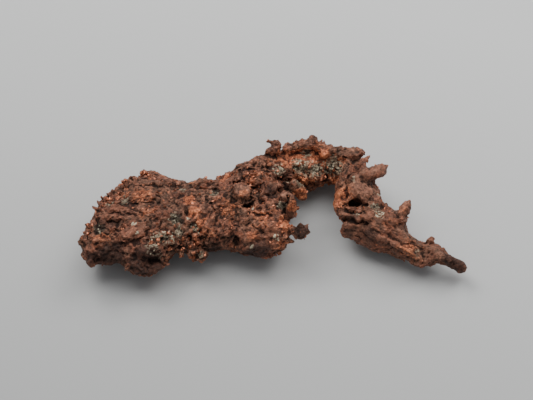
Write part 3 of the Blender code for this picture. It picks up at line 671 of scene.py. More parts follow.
class Body:
    """A mesh's vertices in millimetres, with its edges and normals, as arrays."""

    def __init__(self, mesh):
        self.mesh = mesh
        self.places = read_values(mesh.vertices, "co", 3) / MM
        self.edges = read_values(mesh.edges, "vertices", 2, int)
        self.normals = read_values(mesh.vertex_normals, "vector", 3)
        self.valence = np.bincount(self.edges.ravel(), minlength=len(self.places))
        self.ragged = self.places

    def find_ragged_places(self):
        """Places shifted by noise, so that what is measured from them gets a ragged outline."""
        shifts = [noise.noise_vector(place) for place in (self.places / RAGGED_SIZE).tolist()]
        self.ragged = self.places + np.array(shifts) * RAGGED_SHIFT

    def smooth_out_facets(self):
        self.places = self.spread(self.places, FACET_ROUNDS)
        self.store()

    def thickness(self, skin):
        """From LEAST_RELIEF on the thinnest prongs to 1 where the nugget is STOUT or thicker."""
        shares = []
        for place, normal in zip(self.places, self.normals):
            inwards = Vector(-normal)
            _, _, _, through = skin.ray_cast(Vector(place) + inwards * JUST_INSIDE, inwards)
            shares.append(STOUT if through is None else through)
        return np.clip(np.array(shares) / STOUT, LEAST_RELIEF, 1.0)

    def keep_on_table(self):
        """Lets nothing reach under the table or stand out over the nugget's top."""
        height = self.places[:, 2]
        height = np.where(height > TOP, TOP + (height - TOP) * ABOVE_TOP, height)
        self.places[:, 2] = np.maximum(height, 0.0)
        self.store()

    def spread(self, values, rounds):
        """The values after that many rounds of averaging with their neighbours."""
        first, second = self.edges.T
        count = len(self.places)
        for _ in range(rounds):
            total = values.copy()
            for column in range(values.shape[1]):
                total[:, column] += np.bincount(first, values[second, column], count)
                total[:, column] += np.bincount(second, values[first, column], count)
            values = total / (self.valence + 1)[:, None]
        return values

    def store(self):
        """Writes the places back to the mesh and takes the new normals."""
        self.mesh.vertices.foreach_set("co", (self.places * MM).ravel())
        self.mesh.update()
        self.normals = read_values(self.mesh.vertex_normals, "vector", 3)

    def add_vector_attribute(self, name, values):
        attribute = self.mesh.attributes.new(name, "FLOAT_VECTOR", "POINT")
        attribute.data.foreach_set("vector", np.asarray(values, dtype=np.float32).ravel())

    def add_attribute(self, name, values):
        attribute = self.mesh.attributes.new(name, "FLOAT", "POINT")
        attribute.data.foreach_set("value", np.asarray(values, dtype=np.float32))


def read_values(items, name, width, kind=float):
    values = np.empty(len(items) * width, dtype=kind)
    items.foreach_get(name, values)
    return values.reshape(-1, width)


def depth_of(place):
    """How far in front of the eye a point lies, along the middle line of sight."""
    return (EYE - place).dot(TO_OBSERVER)


def seen_at_depth(across, up, depth):
    """The point at that distance in front of the eye which the observer sees at (across, up)."""
    return EYE.lerp(on_view_plane(across, up), depth / VIEW_DISTANCE)


def root_depth(skin, points):
    """The depth at which a strand starts: of its first point on the skin, or of the nearest skin."""
    for (across, up), _ in points:
        place = touch(skin, across, up)
        if place is not None:
            return depth_of(place)
    across, up = points[0][0]
    nearest, _, _, _ = skin.find_nearest(seen_at_depth(across, up, VIEW_DISTANCE - ROOT_GUESS))
    return depth_of(nearest)


def add_strand(shape, skin, points):
    """Adds a string of overlapping beads, which follows the skin where it touches it."""
    depth = root_depth(skin, points)
    beads = []
    for (across, up), radius in points:
        place = touch(skin, across, up)
        if place is not None:
            depth = min(depth + MAX_STEP, max(depth - MAX_STEP, depth_of(place)))
        sunk = depth + max(0.0, radius - PROUD_RADIUS)
        beads.append((seen_at_depth(across, up, sunk), radius))
    for (start, start_radius), (end, end_radius) in zip(beads, beads[1:]):
        count = max(2, round((end - start).length / BEAD_SPACING))
        for step in range(count + 1):
            share = step / count
            radius = start_radius + (end_radius - start_radius) * share
            matrix = Matrix.Translation(start.lerp(end, share) * MM)
            bmesh.ops.create_icosphere(shape, subdivisions=2, radius=radius * MM, matrix=matrix)


def falloff(distance, radius):
    """From 1 in the middle to 0 at the radius, with a soft shoulder."""
    share = np.clip(1.0 - distance / radius, 0.0, 1.0)
    return share * share * (3.0 - 2.0 * share)


def noisy(places, size, octaves=3, seed=0.0):
    """Fractal noise with lumps of that size, about from -1 to 1."""
    shifted = (places / size + seed).tolist()
    return np.array([noise.fractal(place, 0.9, 2.0, octaves) for place in shifted])


def cells(places, size, seed=0.0):
    """Rounded knobs of that size side by side: 1 on their tops, 0 in the gaps between them."""
    shifted = (places / size + seed).tolist()
    nearest = np.array([noise.voronoi(place)[0][:2] for place in shifted])
    dome = np.clip(1.0 - DOME_FALL * nearest[:, 0] ** 2, 0.0, 1.0)
    gap = np.clip((nearest[:, 1] - nearest[:, 0]) * GAP_STEEPNESS, 0.0, 1.0)
    return dome * np.sqrt(gap)


def ridged(places, size, seed=0.0):
    """Sharp crests of that size, with rounded hollows between them, about from -1 to 1."""
    shifted = (places / size + seed).tolist()
    return np.array([1.0 - CREST_FALL * noise.turbulence(place, 3, True) for place in shifted])


def stepped(height, count):
    """The height in that many flat steps with steep sides, as flakes lie on each other."""
    steps = height * count
    climb = np.clip((steps % 1.0) * STEP_STEEPNESS - STEP_FLAT, 0.0, 1.0)
    return (np.floor(steps) + climb) / count


def drawn_out(places, slope, length, width):
    """The places in steps of that length along a slope that the observer sees, and that width."""
    turn = np.radians(slope)
    right = places @ np.array(VIEW_RIGHT)
    up = places @ np.array(VIEW_UP)
    near = places @ np.array(TO_OBSERVER)
    along = right * np.cos(turn) + up * np.sin(turn)
    across = up * np.cos(turn) - right * np.sin(turn)
    return np.stack([along / length, across / width, near / width], axis=1)


def streaks(places, slope, length, width, seed=0.0):
    """Thin ledges drawn out along a slope that the observer sees, from 0 to 1."""
    height = noisy(drawn_out(places, slope, length, width), 1.0, 3, seed) * 0.5 + 0.5
    return stepped(height, LEDGE_STEPS)


def slopes_at(places):
    """The slope of the streaks at each place, in degrees."""
    return np.where(places[:, 0] > TAIL_FROM, TAIL_SLOPE, SLAB_SLOPE)


def share_at(body, skin, patches):
    """How much of those patches each vertex has. A patch starts with its place in the view."""
    shares = np.zeros(len(body.places))
    for across, up, radius, share in patches:
        middle = touch(skin, across, up)
        if middle is not None:
            distance = np.linalg.norm(body.ragged - np.array(middle), axis=1)
            shares = np.maximum(shares, share * falloff(distance, radius))
    return shares


def strewn_share(body, rng, count, radii, shares):
    """Patches at random on the sides turned away from the observer."""
    away = np.flatnonzero(body.normals @ np.array(TO_OBSERVER) < TURNED_AWAY)
    total = np.zeros(len(body.places))
    for vertex in rng.choice(away, count):
        distance = np.linalg.norm(body.ragged - body.places[vertex], axis=1)
        share = rng.uniform(*shares) * falloff(distance, rng.uniform(*radii))
        total = np.maximum(total, share)
    return total


def skin_tree(mesh):
    """The mesh as something that lines of sight can be cast on, in millimetres."""
    places = (read_values(mesh.vertices, "co", 3) / MM).tolist()
    return BVHTree.FromPolygons(places, [tuple(face.vertices) for face in mesh.polygons])


def add_object(name, mesh):
    made = bpy.data.objects.new(name, mesh)
    bpy.context.scene.collection.objects.link(made)
    return made


def applied(piece):
    """The plain mesh that the object's modifiers make."""
    bpy.context.view_layer.update()
    graph = bpy.context.evaluated_depsgraph_get()
    mesh = bpy.data.meshes.new_from_object(piece.evaluated_get(graph))
    piece.modifiers.clear()
    piece.data = mesh
    return mesh


def drop_chips(mesh):
    """Keeps only the mesh's largest body."""
    shape = bmesh.new()
    shape.from_mesh(mesh)
    waiting = set(shape.verts)
    bodies = []
    while waiting:
        body = [waiting.pop()]
        for vertex in body:
            for edge in vertex.link_edges:
                other = edge.other_vert(vertex)
                if other in waiting:
                    waiting.remove(other)
                    body.append(other)
        bodies.append(body)
    bodies.sort(key=len)
    for body in bodies[:-1]:
        bmesh.ops.delete(shape, geom=body, context="VERTS")
    shape.to_mesh(mesh)
    shape.free()


def fine_skin(node, mesh_size):
    """A copy of the CAD node, merged and rebuilt as an even net of small faces."""
    shape = bmesh.new()
    shape.from_mesh(node.data)
    bmesh.ops.transform(shape, matrix=node.matrix_world, verts=shape.verts)
    bmesh.ops.remove_doubles(shape, verts=shape.verts, dist=1e-6)
    skin = BVHTree.FromPolygons(
        [(vertex.co / MM)[:] for vertex in shape.verts],
        [[vertex.index for vertex in face.verts] for face in shape.faces],
    )
    for points in FINE_STRANDS.values():
        add_strand(shape, skin, points)
    mesh = bpy.data.meshes.new("nugget_skin")
    shape.to_mesh(mesh)
    shape.free()
    piece = add_object("nugget_skin", mesh)
    remesh = piece.modifiers.new("even net", "REMESH")
    remesh.mode = "VOXEL"
    remesh.voxel_size = mesh_size
    drop_chips(applied(piece))
    return piece


def nudge(body, skin):
    """Moves parts of the skin a little across the line of sight."""
    for across, up, radius, right, rise in NUDGES.values():
        share = share_at(body, skin, [(across, up, radius, 1.0)])[:, None]
        body.places += share * (np.array(VIEW_RIGHT) * right + np.array(VIEW_UP) * rise)
    body.store()


def draw_strokes(body, skin):
    """Raises the ridges and presses in the grooves."""
    shift = np.zeros_like(body.places)
    for points, half_width, height in STROKES.values():
        middles = []
        for start, end in zip(points, points[1:]):
            count = max(2, round(math.dist(start, end) / STROKE_SPACING))
            for step in range(count + 1):
                place = touch(skin, *Vector(start).lerp(Vector(end), step / count))
                if place is not None:
                    middles.append(place)
        if not middles:
            continue
        distances = np.full(len(body.places), np.inf)
        for middle in middles:
            distances = np.minimum(distances, np.linalg.norm(body.ragged - np.array(middle), axis=1))
        share = falloff(distances, half_width * STROKE_SPREAD)[:, None]
        if height > 0.0:
            shift += body.normals * share * height
        else:
            shift += np.array(TO_OBSERVER) * share * height
    body.places += shift
    body.store()


def shape_relief(body, skin, settings):
    """Pushes the skin in and out by knobs, ledges, pits and grain, and notes how deep each place is."""
    knobbly = share_at(body, skin, KNOBBLY_PLACES.values())
    away = np.clip(-body.normals @ np.array(TO_OBSERVER) * AWAY_STEEPNESS, 0.0, 1.0)
    hidden = 0.5 + noisy(body.places, HIDDEN_FIELD, 2, HIDDEN_SEED)
    hidden = np.clip(hidden, LEAST_HIDDEN, 1.0) * HIDDEN_KNOBBLINESS
    knobbly = np.maximum(knobbly, away * hidden)
    smooth = share_at(body, skin, SMOOTH_PLACES.values())
    streaked = np.zeros(len(body.places))
    ledges = np.zeros(len(body.places))
    for across, up, radius, share, slope in STREAKED_PLACES.values():
        here = share_at(body, skin, [(across, up, radius, share)])
        ledges += here * streaks(body.ragged, slope, LEDGE_LENGTH, LEDGE_WIDTH)
        streaked += here
    ledges /= np.maximum(streaked, 1.0)
    streaked = np.clip(streaked, 0.0, 1.0)
    rough = LEAST_ROUGH + (1.0 - LEAST_ROUGH) * knobbly
    large = cells(body.ragged, LARGE_KNOB) - 0.5
    middling = cells(body.ragged, MIDDLING_KNOB, MIDDLING_SEED) - 0.5
    crests = stepped(ridged(body.ragged, CREST, CREST_SEED), CREST_STEPS)
    fine_crests = ridged(body.places, FINE_CREST, FINE_CREST_SEED)
    pits = noisy(body.ragged, PIT, 2, PIT_SEED) - PIT_THRESHOLD
    pits = np.clip(pits, 0.0, DEEPEST_PIT) / DEEPEST_PIT
    drawn = drawn_out(body.places, slopes_at(body.places), FIBRE_LENGTH, FIBRE_WIDTH)
    fibres = ridged(drawn, 1.0, FIBRE_SEED)
    height = large * LARGE_HEIGHT * knobbly
    height += middling * MIDDLING_HEIGHT * knobbly
    height += crests * CREST_HEIGHT * rough * (1.0 - CREST_LOST_WHERE_STREAKED * streaked)
    height += fine_crests * (FINE_CREST_HEIGHT + FINE_CREST_ROUGH * rough)
    height += (ledges - 0.5 * streaked) * LEDGE_HEIGHT
    height -= pits * PIT_DEPTH * rough * (1.0 - PIT_LOST_WHERE_STREAKED * streaked)
    height *= 1.0 - LOST_WHERE_SMOOTH * smooth
    height += fibres * FIBRE_HEIGHT * streaked
    height *= settings.relief
    thick = body.thickness(skin)
    shifts = np.array([noise.noise_vector(place) for place in (body.places / JAG).tolist()])
    calm = 1.0 - JAG_LOST_WHERE_SMOOTH * smooth
    shifts *= (JAG_SHIFT * settings.relief * thick * rough * calm)[:, None]
    body.places += body.normals * (height * thick)[:, None] + shifts
    body.store()
    return knobbly * thick, streaked, smooth


def find_hollows(body):
    """How far each place lies under its near and its wider surroundings, in millimetres."""
    near = body.spread(body.places, NEAR_ROUNDS) - body.places
    wide = body.spread(body.places, WIDE_ROUNDS) - body.places
    return np.sum(near * body.normals, axis=1), np.sum(wide * body.normals, axis=1)


def colour_shares(body, skin):
    """How much of each kind of patch each vertex has: patches that are seen, and strewn ones behind."""
    rng = np.random.default_rng(PATCH_SEED)
    shares = {}
    for name, patches in PATCHES.items():
        seen = share_at(body, skin, patches.values())
        hidden = strewn_share(body, rng, *HIDDEN_PATCHES[name])
        shares[name] = np.maximum(seen, hidden)
    return shares


def grain_shares(body, shares, hollow, knobbly, streaked, smooth):
    """How thickly each kind of grain is strewn at each vertex, none close to the table."""
    raised = np.clip(0.5 - hollow * RAISED_STEEPNESS, 0.0, 1.0)
    sharp = np.clip(-hollow * SHARP_STEEPNESS - SHARP_FROM, 0.0, 1.0)
    light = np.clip(1.0 - DARK_STEEPNESS * shares["dark"], 0.0, 1.0)
    rough = 1.0 - smooth
    shards = LEAST_SHARDS + (1.0 - LEAST_SHARDS) * knobbly
    found = {
        "nodule_share": knobbly * raised * rough * (1.0 - streaked) * light,
        "spine_share": sharp * knobbly * rough,
        "shard_share": shards * rough * (1.0 - SHARDS_LOST_WHERE_STREAKED * streaked) * light,
        "white_share": np.minimum(shares["pale"], 1.0) ** 2,
        "crust_share": shares["crust"] ** 2,
    }
    off_table = np.clip(body.places[:, 2] - LOWEST_GRAIN, 0.0, 1.0)
    return {name: share * off_table for name, share in found.items()}


class Socket:
    """An output of a node, for use in Python expressions. A new tree starts from Socket(tree)."""

    def __init__(self, tree, output=None):
        self.tree = tree
        self.output = output

    def make(self, kind, settings=None, sockets=None, output=0):
        """Any node: its type, then its settings, then its sockets by name or number."""
        node = self.tree.nodes.new(kind)
        for name, value in (settings or {}).items():
            setattr(node, name, value)
        for name, value in (sockets or {}).items():
            self.feed(node.inputs[name], value)
        return Socket(self.tree, node.outputs[output]) if node.outputs else node

    def feed(self, target, value):
        if isinstance(value, Socket):
            self.tree.links.new(value.output, target)
        else:
            target.default_value = value

    def sibling(self, name):
        """Another output of the same node."""
        return Socket(self.tree, self.output.node.outputs[name])

    def is_number(self, *others):
        sockets = [self] + [other for other in others if isinstance(other, Socket)]
        return not any(socket.output.type in ("VECTOR", "RGBA") for socket in sockets)

    def calculate(self, operation, first, second=0.0):
        if self.is_number(first, second):
            return self.make("ShaderNodeMath", {"operation": operation}, {0: first, 1: second})
        if operation == "MULTIPLY" and isinstance(second, (int, float)):
            return self.make("ShaderNodeVectorMath", {"operation": "SCALE"}, {0: first, "Scale": second})
        if isinstance(second, (int, float)):
            second = (second, second, second)
        return self.make("ShaderNodeVectorMath", {"operation": operation}, {0: first, 1: second})

    def __add__(self, other):
        return self.calculate("ADD", self, other)

    def __radd__(self, other):
        return self.calculate("ADD", self, other)

    def __sub__(self, other):
        return self.calculate("SUBTRACT", self, other)

    def __rsub__(self, other):
        return self.calculate("SUBTRACT", other, self)

    def __mul__(self, other):
        return self.calculate("MULTIPLY", self, other)

    def __rmul__(self, other):
        return self.calculate("MULTIPLY", self, other)

    def __neg__(self):
        return self.calculate("MULTIPLY", self, -1.0)

    def least(self, other):
        return self.calculate("MINIMUM", self, other)

    def most(self, other):
        return self.calculate("MAXIMUM", self, other)

    def between(self, low, high, smooth=True):
        """From 0 at low to 1 at high, with soft ends unless smooth is false."""
        kind = "SMOOTHSTEP" if smooth else "LINEAR"
        sockets = {"Value": self, "From Min": low, "From Max": high}
        return self.make("ShaderNodeMapRange", {"interpolation_type": kind}, sockets)

    def blend(self, start, end):
        """The colour start where this is 0 and end where it is 1."""
        sockets = {0: self, 6: start, 7: end}
        return self.make("ShaderNodeMix", {"data_type": "RGBA"}, sockets, output=2)


class CopperLook:
    """The inputs that all of the nugget's materials share."""

    def __init__(self, name):
        self.material = bpy.data.materials.new(name)
        self.material.use_nodes = True
        tree = self.material.node_tree
        tree.nodes.clear()
        self.root = Socket(tree)
        coordinates = self.root.make("ShaderNodeTexCoord", output="Object")
        self.place = coordinates * (1.0 / MM)

    def attribute(self, name, output="Fac"):
        return self.root.make("ShaderNodeAttribute", {"attribute_name": name}, output=output)

    def cracks(self, place, size, width):
        """Thin wandering lines: 1 along them, 0 elsewhere."""
        sockets = {"Vector": place, "Scale": 1.0 / size, "Detail": 4.0, "Roughness": 0.6}
        level = self.root.make("ShaderNodeTexNoise", None, sockets)
        return (level - 0.5).most(0.5 - level).between(width, 0.0)

    def grain(self, size, detail=3.0, roughness=0.6):
        """Noise with lumps of that size in millimetres, from 0 to 1."""
        sockets = {"Vector": self.place, "Scale": 1.0 / size, "Detail": detail, "Roughness": roughness}
        return self.root.make("ShaderNodeTexNoise", None, sockets)

    def knobs(self, size):
        """The distance to the middle of the nearest knob of that size, from 0 to about 1."""
        sockets = {"Vector": self.place, "Scale": 1.0 / size}
        return self.root.make("ShaderNodeTexVoronoi", None, sockets, output="Distance")

    def chips(self, size, place=None):
        """One random value for each chip of that size."""
        sockets = {"Vector": place or self.place, "Scale": 1.0 / size}
        tone = self.root.make("ShaderNodeTexVoronoi", None, sockets, output="Color")
        return self.root.make("ShaderNodeSeparateColor", None, {0: tone}, output=0)

    def finish(self, colour, roughness, metallic, height, strength):
        bump_sockets = {"Height": height, "Strength": strength, "Distance": BUMP_HEIGHT * MM}
        bump = self.root.make("ShaderNodeBump", None, bump_sockets)
        sockets = {"Base Color": colour, "Roughness": roughness, "Metallic": metallic, "Normal": bump}
        sockets["Specular IOR Level"] = SPECULAR
        surface = self.root.make("ShaderNodeBsdfPrincipled", None, sockets)
        self.root.make("ShaderNodeOutputMaterial", None, {"Surface": surface})
        return self.material


def copper_material(settings):
    """Red-brown copper: bright patches, dark patches that are partly painted shade on fronts and
    undersides, grey-green crust, pale grains, black-brown painted shade in the hollows and painted glints
    on bright ridges.
    """
    look = CopperLook("native_copper")
    calm = look.attribute("smooth")
    fine = look.grain(FINE_GRAIN)
    middling = look.grain(MIDDLING_GRAIN)
    broad = look.grain(BROAD_GRAIN)
    ragged = (fine - 0.5) + (middling - 0.5) * MIDDLING_FRAY
    bright = (look.attribute("bright") + ragged * BRIGHT_FRAY).between(*BRIGHT_EDGE)
    # The dark patches: partly dark tone, partly painted shade on fronts, undersides and hollows.
    dark = (look.attribute("dark") + ragged * DARK_FRAY).between(*DARK_EDGE)
    crust = (look.attribute("crust") + ragged * CRUST_FRAY).between(*CRUST_EDGE)
    pale = (look.attribute("pale") + ragged * PALE_FRAY).between(*PALE_EDGE)
    hollow = look.attribute("hollow") + (fine - 0.5) * HOLLOW_FRAY
    # Painted shade: the hollows of the skin are laid over with black-brown, as shade would darken them.
    hollow_shade = hollow.between(*HOLLOW_SHADE_EDGE)
    # Painted shade: places that lie deep under their wider surroundings are darkened towards black-brown.
    deep = look.attribute("wide_hollow").between(*DEEP_SHADE_EDGE)
    ridge = (-hollow).between(*RIDGE_EDGE)
    colour = middling.between(*RED_BROWN_EDGE).blend(BROWN, RED_BROWN)
    colour = (broad.between(*UMBER_EDGE) * UMBER_COVER).blend(colour, UMBER)
    streaked = look.attribute("streaked")
    colour = (calm * (1.0 - streaked) * WORN_COVER).blend(colour, WORN)
    tone = look.attribute("tone")
    colour = (tone * TONE_COVER).blend(colour, UMBER)
    speck = look.grain(SPECK, 2.0, 0.7)
    chips = look.chips(CHIP)
    coarse_chips = look.chips(COARSE_CHIP)
    long_chips = look.chips(LONG_CHIP, look.attribute("drawn", "Vector"))
    coarse_chips = coarse_chips + (long_chips - coarse_chips) * streaked
    shade = LEAST_SHADE + streaked * STREAKED_SHADE
    shade = shade + CHIP_SHADE * chips * (1.0 - streaked * CHIPS_LOST_WHERE_STREAKED)
    shade = shade + (COARSE_CHIP_SHADE + streaked * LONG_CHIP_SHADE) * coarse_chips
    shade = shade * (1.0 - tone * TONE_SHADE)
    colour = (ridge * WORN_COVER).blend(colour, WORN)
    bright_tone = fine.between(*ORANGE_EDGE).blend(RED_COPPER, tuple(settings.bright_copper))
    colour = (bright * BRIGHT_COVER).blend(colour, bright_tone)
    # Painted highlight: glints on the ridges of the bright copper.
    colour = (bright * ridge * GLINT_COVER).blend(colour, GLINT)
    crust_tone = fine.between(*LIGHT_CRUST_EDGE).blend(CRUST_DARK, tuple(settings.crust))
    colour = (crust * CRUST_COVER).blend(colour, crust_tone)
    strings = look.cracks(look.place + 9.0, PALE_STRING, PALE_STRING_WIDTH)
    strings = strings.most(look.attribute("pale").between(*SOLID_PALE_EDGE))
    colour = (pale * strings * PALE_COVER).blend(colour, tuple(settings.pale))
    lines = look.cracks(look.attribute("drawn", "Vector"), STREAK_LINE, STREAK_LINE_WIDTH) * streaked
    cracks = look.cracks(look.place, CRACK, CRACK_WIDTH) * (1.0 - streaked)
    cracks = cracks * (1.0 - calm * CRACKS_LOST_WHERE_SMOOTH)
    fine_cracks = look.cracks(look.place + 5.0, FINE_CRACK, FINE_CRACK_WIDTH)
    fine_cracks = fine_cracks * (1.0 - calm * CRACKS_LOST_WHERE_SMOOTH)
    lines = lines.most(cracks).most(fine_cracks * FINE_CRACK_COVER)
    colour = colour * shade
    colour = (speck.between(*SPECK_EDGE) * SPECK_COVER).blend(colour, BLACK_BROWN)
    colour = (lines * LINE_COVER).blend(colour, BLACK_BROWN)
    # Dark patches, partly painted shade.
    colour = (dark * DARK_COVER).blend(colour, DARK)
    # Painted shade in the hollows.
    colour = (hollow_shade * HOLLOW_SHADE_COVER).blend(colour, BLACK_BROWN)
    # Painted shade in the deep hollows, lighter on the bright copper.
    painted_deep_shade = deep * DEEP_SHADE_COVER * (1.0 - bright * DEEP_SHADE_LOST_WHERE_BRIGHT)
    colour = painted_deep_shade.blend(colour, BLACK_BROWN)
    dull = crust.most(pale).most(hollow_shade)
    roughness = ROUGHNESS + dull * DULL_ROUGHNESS + (fine - 0.5) * UNEVEN_ROUGHNESS
    metallic = bright * (1.0 - dull) * BRIGHT_METAL
    height = fine * FINE_BUMP + chips * CHIP_BUMP + look.knobs(KNOB) * KNOB_BUMP
    height = height + look.grain(TINY_GRAIN) * TINY_BUMP - lines * LINE_BUMP
    return look.finish(colour, roughness, metallic, height, BUMP_STRENGTH)


def grain_material(name, dull_colour, light_colour, roughness):
    """Loose grains: each one takes its own tone between two colours."""
    look = CopperLook(name)
    fine = look.grain(LOOSE_GRAIN)
    tone = look.attribute("tone") * 0.8 + (fine - 0.5) * 0.8
    colour = tone.between(0.0, 0.8, smooth=False).blend(dull_colour, light_colour)
    roughness = roughness + (fine - 0.5) * LOOSE_UNEVEN_ROUGHNESS
    return look.finish(colour, roughness, 0.0, fine, LOOSE_BUMP_STRENGTH)


def new_input(tree, kind, name, default=None):
    socket = tree.interface.new_socket(name, in_out="INPUT", socket_type=kind)
    if default is not None:
        socket.default_value = default
    return socket


def grain_tree():
    """Strews uneven grains over the faces of a mesh, as thickly as one of its attributes says."""
    tree = bpy.data.node_groups.new("strewn_grains", "GeometryNodeTree")
    new_input(tree, "NodeSocketGeometry", "Surface")
    new_input(tree, "NodeSocketString", "Mask", "")
    new_input(tree, "NodeSocketFloat", "Density", 1.0)
    new_input(tree, "NodeSocketFloat", "Smallest", 0.2)
    new_input(tree, "NodeSocketFloat", "Largest", 0.5)
    new_input(tree, "NodeSocketFloat", "Height", 1.0)
    new_input(tree, "NodeSocketFloat", "Rise", 0.0)
    new_input(tree, "NodeSocketFloat", "Tilt", 0.0)
    new_input(tree, "NodeSocketInt", "Detail", 1)
    new_input(tree, "NodeSocketInt", "Seed", 0)
    new_input(tree, "NodeSocketMaterial", "Material")
    tree.interface.new_socket("Grains", in_out="OUTPUT", socket_type="NodeSocketGeometry")
    root = Socket(tree)
    given = root.make("NodeGroupInput")
    seed = given.sibling("Seed")

    mask = {"Name": given.sibling("Mask")}
    share = root.make("GeometryNodeInputNamedAttribute", {"data_type": "FLOAT"}, mask)
    per_metre = share * given.sibling("Density") * (1.0 / MM**2)
    points = root.make(
        "GeometryNodeDistributePointsOnFaces",
        {"distribute_method": "RANDOM"},
        {"Mesh": given.sibling("Surface"), "Density": per_metre, "Seed": seed},
    )

    place = root.make("GeometryNodeInputPosition")
    shapes = root.make("GeometryNodeGeometryToInstance")
    gather = shapes.output.node.inputs[0]
    for variant in range(GRAIN_VARIANTS):
        ball_sockets = {"Radius": 1.0, "Subdivisions": given.sibling("Detail")}
        ball = root.make("GeometryNodeMeshIcoSphere", None, ball_sockets)
        lumps = root.make(
            "ShaderNodeTexNoise",
            None,
            {"Vector": place + float(variant * 5 + 1), "Scale": GRAIN_LUMPS, "Detail": 1.0},
            output="Color",
        )
        shift = (lumps - 0.5) * GRAIN_UNEVENNESS
        moved = root.make("GeometryNodeSetPosition", None, {"Geometry": ball, "Offset": shift})
        tree.links.new(moved.output, gather)

    size = random_value(root, given.sibling("Smallest"), given.sibling("Largest"), seed + 1) * MM
    flat = size * given.sibling("Height")
    scale = root.make("ShaderNodeCombineXYZ", None, {"X": size, "Y": size * GRAIN_NARROWNESS, "Z": flat})
    tilt = given.sibling("Tilt")
    leans = {
        "X": random_value(root, -tilt, tilt, seed + 4),
        "Y": random_value(root, -tilt, tilt, seed + 5),
        "Z": random_value(root, 0.0, math.tau, seed + 2),
    }
    spin = root.make("ShaderNodeCombineXYZ", None, leans)
    spin_turn = root.make("FunctionNodeEulerToRotation", None, {0: spin})
    turn = root.make(
        "FunctionNodeRotateRotation",
        {"rotation_space": "LOCAL"},
        {0: points.sibling("Rotation"), 1: spin_turn},
    )
    grains = root.make(
        "GeometryNodeInstanceOnPoints",
        None,
        {"Points": points, "Instance": shapes, "Pick Instance": True, "Rotation": turn, "Scale": scale},
    )
    rise = root.make("ShaderNodeCombineXYZ", None, {"X": 0.0, "Y": 0.0, "Z": given.sibling("Rise") * size})
    grains = root.make(
        "GeometryNodeTranslateInstances",
        None,
        {"Instances": grains, "Translation": rise, "Local Space": True},
    )
    grains = root.make(
        "GeometryNodeStoreNamedAttribute",
        {"data_type": "FLOAT", "domain": "INSTANCE"},
        {"Geometry": grains, "Name": "tone", "Value": random_value(root, 0.0, 1.0, seed + 3)},
    )
    grains = root.make("GeometryNodeRealizeInstances", None, {"Geometry": grains})
    dressed = {"Geometry": grains, "Material": given.sibling("Material")}
    grains = root.make("GeometryNodeSetMaterial", None, dressed)
    root.make("NodeGroupOutput", None, {"Grains": grains})
    return tree


def random_value(root, low, high, seed):
    sockets = {2: low, 3: high, "Seed": seed}
    return root.make("FunctionNodeRandomValue", {"data_type": "FLOAT"}, sockets, output=1)


def strew(name, tree, surface, material, values):
    """A plain mesh of grains strewn over the surface by the tree with those inputs."""
    piece = add_object(name, surface.data.copy())
    modifier = piece.modifiers.new("grains", "NODES")
    modifier.node_group = tree
    for socket in tree.interface.items_tree:
        if socket.in_out == "INPUT" and socket.name in values:
            modifier[socket.identifier] = values[socket.name]
        if socket.name == "Material":
            modifier[socket.identifier] = material
    mesh = applied(piece)
    mesh.name = name
    Body(mesh).keep_on_table()
    return piece


class NuggetSkinSettings(bpy.types.PropertyGroup):
    mesh_size: FloatProperty(
        name="Mesh size",
        description="Width of the faces of the nugget's fine skin",
        default=0.00031,
        min=0.0001,
        unit="LENGTH",
        subtype="DISTANCE",
    )
    relief: FloatProperty(
        name="Relief",
        description="Height of knobs, ledges and pits, as a factor",
        default=1.0,
        min=0.0,
        subtype="FACTOR",
    )
    bright_copper: FloatVectorProperty(
        name="Bright copper",
        description="Lightest tone of the fresh orange patches",
        default=ORANGE_COPPER,
        size=4,
        min=0.0,
        max=1.0,
        subtype="COLOR",
    )
    crust: FloatVectorProperty(
        name="Crust",
        description="Light tone of the grey-green crust",
        default=CRUST,
        size=4,
        min=0.0,
        max=1.0,
        subtype="COLOR",
    )
    pale: FloatVectorProperty(
        name="Pale mineral",
        description="Colour of the pale strings and grains",
        default=PALE,
        size=4,
        min=0.0,
        max=1.0,
        subtype="COLOR",
    )


class NuggetGrainSettings(bpy.types.PropertyGroup):
    amount: FloatProperty(
        name="Amount",
        description="How thickly grains are strewn, as a factor",
        default=1.0,
        min=0.0,
        subtype="FACTOR",
    )
    seed: IntProperty(
        name="Seed",
        description="Another seed strews the grains in other places",
        default=0,
        min=0,
    )


class NuggetStageSettings(bpy.types.PropertyGroup):
    floor_size: FloatProperty(
        name="Floor size",
        description="Width of the pale floor",
        default=3.0,
        min=0.5,
        unit="LENGTH",
        subtype="DISTANCE",
    )
    key_power: FloatProperty(
        name="Key power",
        description="Power of which each soft light takes its share",
        default=3.0,
        min=0.0,
        unit="POWER",
    )
    fill: FloatProperty(
        name="Fill",
        description="Strength of the even light from all round",
        default=0.36,
        min=0.0,
    )


